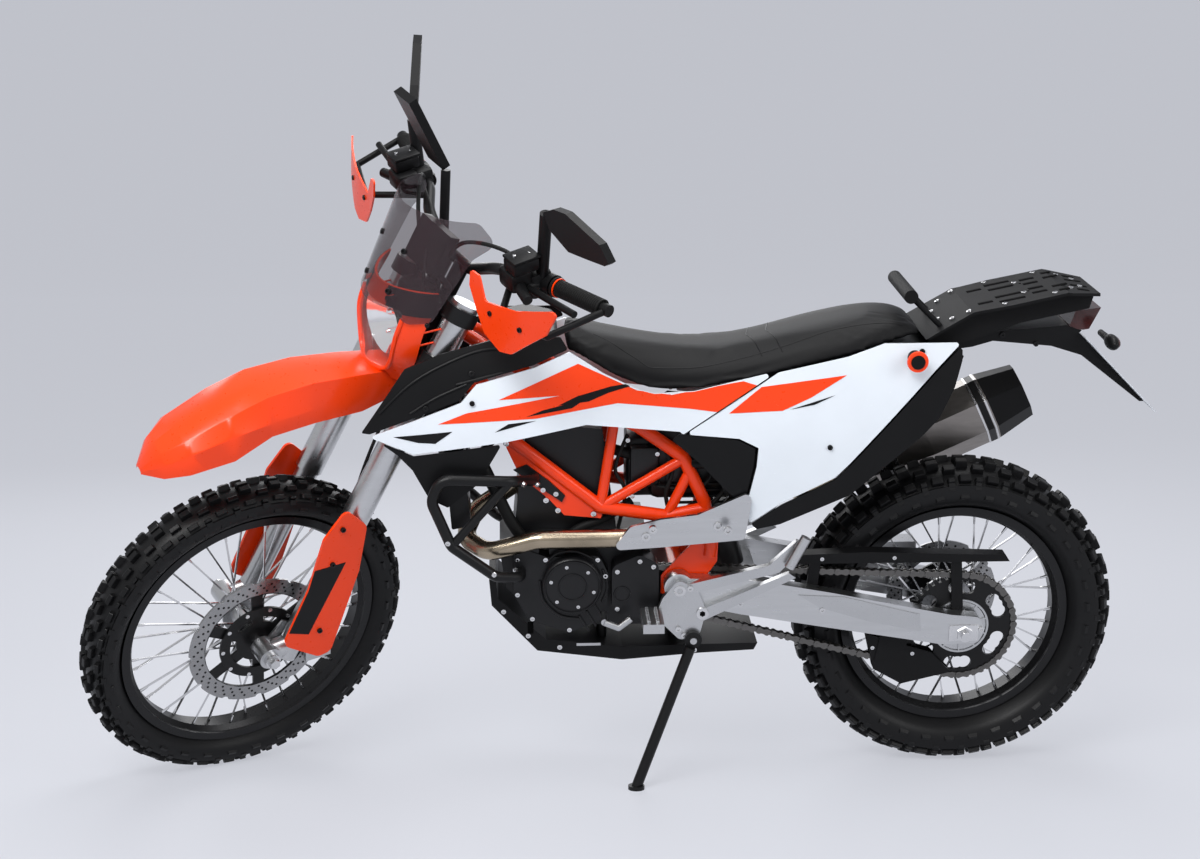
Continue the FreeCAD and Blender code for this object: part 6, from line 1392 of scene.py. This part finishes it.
def carrier_skin(disc, matrix, body, reach, rows, disc_side):
    """A dark skin on a disc's carrier, and dark plugs in its ring: painted shade of the holes."""
    skin = node_copy(disc, matrix)
    for angle in around(CIRCLE_SIDES):
        cut(skin, from_axle(angle, reach, 0), from_axle(angle, 1, 0))
    lift(skin, SKIN_LIFT)
    add_piece(disc + "_carrier", skin, matrix, body, "black_metal")
    hole_shade_plugs = bmesh.new()
    half = Vector((0, HOLE_REACH, 0))
    for row, radius in enumerate(rows):
        for angle in around(DISC_HOLES, row * SPIRAL):
            spot = from_axle(angle, radius, disc_side)
            add_rod(hole_shade_plugs, spot - half, spot + half, HOLE_RADIUS, 8)
    add_piece(disc + "_hole_shades", hole_shade_plugs, matrix, body, "black_metal", "graphic_black")


carrier_skin("front_disc", *ON_FRONT_WHEEL, 0.1165, (0.124, 0.132, 0.140), 0.060)
carrier_skin("rear_disc", *ON_REAR_WHEEL, 0.0865, (0.094, 0.102, 0.110), -0.088)

# %% [markdown]
# A dark ring with bobbins carries the front disc's steel rotor. It is a section spun round the
# axle, and the bobbins are short rods with a bright face.

# %% Carrier ring
RING_SIDE = 0.0665
RING_SECTION = [(RING_SIDE - 0.003, 0.064), (RING_SIDE + 0.002, 0.064),
                (RING_SIDE + 0.002, 0.086), (RING_SIDE - 0.003, 0.086)]
BOBBIN_CIRCLE = 0.080
BOBBIN_LENGTH = 0.0040

ring = bmesh.new()
add_spun(ring, [(0, y, r) for y, r in RING_SECTION], (0, 1, 0), 72)
add_piece("carrier_ring", ring, *ON_FRONT_WHEEL, "black_metal")
bobbins = bmesh.new()
for angle in around(10, 0.5):
    spot = from_axle(angle, BOBBIN_CIRCLE, RING_SIDE)
    add_rod(bobbins, spot, spot + Vector((0, BOBBIN_LENGTH, 0)), 0.0050, 14, 0.0044)
add_piece("carrier_bobbins", bobbins, *ON_FRONT_WHEEL, "bright_steel")

# %% [markdown]
# A lamp flashes on each side of the tail. Each is a small oval shell on a short stalk, with a
# smoked face. The shell is a sphere pulled long, which is how such a moulding looks from
# every side.

# %% Turn signals
SIGNAL_PLACE = (-0.262, 0.118, 0.962)
SHELL_SIZE = (0.013, 0.030, 0.015)
FACE_SIZE = (0.011, 0.026, 0.012)


def add_ball(bm, centre, size):
    """A sphere pulled to three half sizes."""
    ball = bmesh.ops.create_uvsphere(bm, u_segments=24, v_segments=14, radius=1.0)["verts"]
    bmesh.ops.scale(bm, vec=size, verts=ball)
    bmesh.ops.translate(bm, vec=centre, verts=ball)


shells, faces = bmesh.new(), bmesh.new()
for side in (1, -1):
    centre = Vector((SIGNAL_PLACE[0], side * SIGNAL_PLACE[1], SIGNAL_PLACE[2]))
    add_ball(shells, centre, SHELL_SIZE)
    add_rod(shells, centre - Vector((0, side * 0.074, 0)), centre - Vector((0, side * 0.02, 0)),
            0.0065, 14, 0.0080)
    add_ball(faces, centre - Vector((0.0045, 0, 0)), FACE_SIZE)
add_piece("signal_shells", shells, *ON_BIKE, "black_plastic")
add_piece("signal_faces", faces, *ON_BIKE, "smoked_lamp")

# %% [markdown]
# Serrated edges give a boot its grip on the foot pegs, and screws hold the rack. The teeth
# are small boxes with broken edges, in rows.

# %% Pegs and rack
PEG_EDGES = (0.646, 0.664)
TOOTH_GAP = 0.0085
RACK_SCREWS = [(0.050, 0.070), (0.020, 0.082), (-0.050, 0.088), (-0.100, 0.040),
               (-0.150, 0.085), (-0.190, 0.055), (-0.215, 0.030), (0.070, 0.030)]
teeth, rack_screws = bmesh.new(), bmesh.new()
for side in (1, -1):
    for index in range(9):
        for x in PEG_EDGES:
            add_box(teeth, (x, side * (0.156 + index * TOOTH_GAP), 0.4215),
                    (0.006, 0.0035, 0.006), bevel=0.0007)
    for x, y in RACK_SCREWS:
        found = hit("luggage_rack", BIKE, (x, side * y, ABOVE_IT), (0, 0, -1))
        screw_on(rack_screws, found, 0.0056, 0.0025)
add_piece("peg_teeth", teeth, *ON_BIKE, "silver_alloy")
add_piece("rack_screws", rack_screws, *ON_BIKE, "bright_steel")

# %% [markdown]
# Long and short slots run over the rack, and the skid plate has drain slots. They are thin
# plates, dark or silver, laid on the surface where a ray meets it, so they follow its slope.
# The slots are not cut: the dark plates are painted shade, standing for the shade inside them.

# %% Slots
# place along and across, length
RACK_SLOTS = [(-0.070, 0.030, 0.052), (-0.070, 0.066, 0.052), (-0.128, 0.020, 0.030),
              (-0.128, 0.052, 0.030), (-0.172, 0.036, 0.030), (-0.172, 0.070, 0.020),
              (-0.215, 0.022, 0.034), (-0.215, 0.056, 0.024), (-0.020, 0.050, 0.030)]
DRAIN_SHADES = [(945, 430), (925, 395), (900, 362)]
BRIGHT_DRAIN = (780, 322)
SLOT_THICKNESS = 0.0016


def add_slot(bm, found, length, width):
    """A thin plate flat on a surface, with its first side along the machine."""
    if found:
        spot, out = found
        ahead = (Vector((1, 0, 0)) - out * out.x).normalized()
        turn = Matrix((ahead, out.cross(ahead), out)).transposed().to_4x4()
        add_box(bm, spot, (length, width, SLOT_THICKNESS), turn, 0.0004)


slot_shades, bright_slots = bmesh.new(), bmesh.new()
for side in (1, -1):
    for x, y, length in RACK_SLOTS:
        found = hit("luggage_rack", BIKE, (x, side * y, ABOVE_IT), (0, 0, -1))
        add_slot(slot_shades, found, length, 0.012)
    for place in DRAIN_SHADES:
        add_slot(slot_shades, hit_side("skid_plate", BIKE, *place, side), 0.012, 0.026)
    add_slot(bright_slots, hit_side("skid_plate", BIKE, *BRIGHT_DRAIN, side), 0.050, 0.006)
# the dark plates are painted shade of the rack's slots and the skid plate's drains
add_piece("slot_shades", slot_shades, *ON_BIKE, "black_metal", "recess_black")
add_piece("drain_slots", bright_slots, *ON_BIKE, "bright_steel", "silver_alloy")

# %% [markdown]
# Raised pressings stiffen the swingarm and the shrouds. The arm's is a plate laid on its side,
# and the shrouds have creases, which are tubes half sunk into their faces along points found by
# rays.

# %% Pressings
ARM_PANEL = [(350, 436), (256, 430), (96, 388), (92, 350), (200, 374), (306, 408)]
SHROUD_CREASES = [[(1190, 850), (1130, 906), (1066, 942), (990, 968), (920, 968)],
                  [(1040, 905), (1000, 914), (950, 925)],
                  [(1130, 850), (1080, 880), (1020, 905)]]


def on_side(node_name, places, side):
    """The points of a part's outer face at these places of the side view, in millimetres."""
    found = [hit_side(node_name, BIKE, x, z, side) for x, z in places]
    return [spot for spot, out in filter(None, found)]


pressings, creases = bmesh.new(), bmesh.new()
for side in (1, -1):
    panel = on_side("swingarm", ARM_PANEL, side)
    face = side * (max(abs(spot.y) for spot in panel) - 0.001)
    add_plate(pressings, [(spot.x, face, spot.z) for spot in panel], (0, side * 0.0035, 0))
    for line in SHROUD_CREASES:
        spots = on_side("shrouds", line, side)
        if len(spots) > 1:
            add_tube(creases, spots, 0.0034)
add_piece("arm_pressings", pressings, *ON_BIKE, "silver_alloy")
add_piece("shroud_creases", creases, *ON_BIKE, "black_plastic")

# %% [markdown]
# Round pivots with six-sided sockets stand on the foot brackets, and a ribbed silver cover
# closes the rear hub inside the sprocket. Its ribs are boxes set round the axle. A socket is not
# cut: a thin near-black six-sided plate on the pivot is painted shade in it.

# %% Pivots and hub cover
BRACKET_PIVOTS = [(608, 473), (549, 406)]
COVER_SECTION = [(0.0925, 0.014), (0.0975, 0.014), (0.0975, 0.026), (0.0940, 0.030),
                 (0.0940, 0.054), (0.0965, 0.056), (0.0965, 0.060), (0.0925, 0.060)]
pivots, socket_shades = bmesh.new(), bmesh.new()
for side in (1, -1):
    out = Vector((0, side, 0))
    for spot in on_side("foot_brackets", BRACKET_PIVOTS, side):
        add_rod(pivots, spot - out * 0.002, spot + out * 0.0045, 0.0135, 28, 0.0125)
        # a thin near-black six-sided plate on each pivot: painted shade of its socket
        add_rod(socket_shades, spot + out * 0.003, spot + out * 0.0052, 0.0062, 6)
add_piece("bracket_pivots", pivots, *ON_BIKE, "bright_steel")
add_piece("pivot_socket_shades", socket_shades, *ON_BIKE, "black_metal", "recess_black")
hub_cover = bmesh.new()
add_spun(hub_cover, [(0, y, r) for y, r in COVER_SECTION], (0, 1, 0), 72)
for angle in around(10):
    turn = Matrix.Rotation(angle, 4, "Y")
    add_box(hub_cover, turn @ Vector((0, 0.0952, 0.042)), (0.0030, 0.0036, 0.028), turn)
add_piece("hub_cover", hub_cover, *ON_REAR_WHEEL, "silver_alloy")

# %% [markdown]
# The mudguard is one moulding with soft facets. Its flat faces are joined, and only the real
# creases stay sharp.

# %% Mudguard
fender = node_copy("front_fender")
bmesh.ops.dissolve_limit(fender, angle_limit=math.radians(1), verts=fender.verts,
                         edges=fender.edges)
add_piece("fender_shell", fender, Matrix(), "steering", "orange_plastic",
          replaced=("front_fender",), sharp=math.radians(50))

# %% [markdown]
# The axles end in bright nuts, and an orange washer sits under each standoff of the rack. The
# nuts are six-sided rods that taper a little, on a round washer or on a flat block. A thin
# near-black disc on the rear axle's left end is painted shade for its hollow end.

# %% Nuts and washers
FRONT_NUTS = [(0.126, 0.140, 0.0165, 24, 0.0160), (0.140, 0.151, 0.0120, 6, 0.0112)]
REAR_NUT = (0.1365, 0.1425, 0.0180, 6, 0.0172)
# a thin near-black disc: painted shade in the rear axle's hollow end
AXLE_END = (0.1415, 0.1432, 0.0095, 20, 0.0095)
WASHER_PLACE = (135, 938)


def add_cross_rod(bm, z, side, near, far, radius, sides, end_radius):
    """A rod on an axle's line, from one distance to another on one side."""
    add_rod(bm, (0, side * near, z), (0, side * far, z), radius, sides, end_radius)


nuts, arm_nuts, axle_end_shade, washers = bmesh.new(), bmesh.new(), bmesh.new(), bmesh.new()
for side in (1, -1):
    for nut in FRONT_NUTS:
        add_cross_rod(nuts, 0, side, *nut)
    add_box(arm_nuts, (0.002, side * 0.1362, REAR_TYRE_RADIUS + 0.002), (0.062, 0.0030, 0.036),
            bevel=0.0012)
    add_cross_rod(arm_nuts, REAR_TYRE_RADIUS, side, *REAR_NUT)
    face, out = hit_side("rack_knobs", BIKE, *WASHER_PLACE, side)
    add_rod(washers, face - out * 0.007, face - out * 0.0025, 0.0215, 28, 0.0205)
add_cross_rod(axle_end_shade, REAR_TYRE_RADIUS, 1, *AXLE_END)
add_piece("front_nuts", nuts, FRONT_WHEEL, "steering", "bright_steel")
add_piece("axle_end_shade", axle_end_shade, *ON_BIKE, "black_metal", "recess_black")
add_piece("arm_nuts", arm_nuts, *ON_BIKE, "bright_steel")
add_piece("knob_washers", washers, *ON_BIKE, "orange_plastic")

# %% [markdown]
# Hoses and cables run from the controls down behind the lamp. They turn with the bars and are
# clipped along their way, so they belong to the steering. The front brake's hose follows the
# fork's left leg to the caliper.

# %% Hoses of the front end
CONTROL_LINES = [
    ([(0.985, 0.235, 1.172), (1.030, 0.170, 1.215), (1.075, 0.085, 1.200),
      (1.090, 0.045, 1.130), (1.105, 0.040, 1.060)], 0.0042),
    ([(0.985, -0.235, 1.172), (1.035, -0.165, 1.225), (1.085, -0.080, 1.205),
      (1.100, -0.040, 1.130), (1.110, -0.038, 1.060)], 0.0042),
    ([(0.985, -0.245, 1.168), (1.020, -0.180, 1.195), (1.060, -0.070, 1.180),
      (1.120, 0.020, 1.140), (1.150, 0.066, 1.060), (1.160, 0.082, 0.980)], 0.0036),
    ([(1.160, 0.082, 0.980), (1.200, 0.084, 0.900), (1.245, 0.076, 0.800),
      (1.290, 0.072, 0.660), (1.325, 0.078, 0.480), (1.340, 0.080, 0.372)], 0.0036)]
lines = bmesh.new()
for route, radius in CONTROL_LINES:
    add_tube(lines, route, radius, 8, 7)
add_piece("control_lines", lines, *ON_FORK, "black_plastic", "grip_rubber")
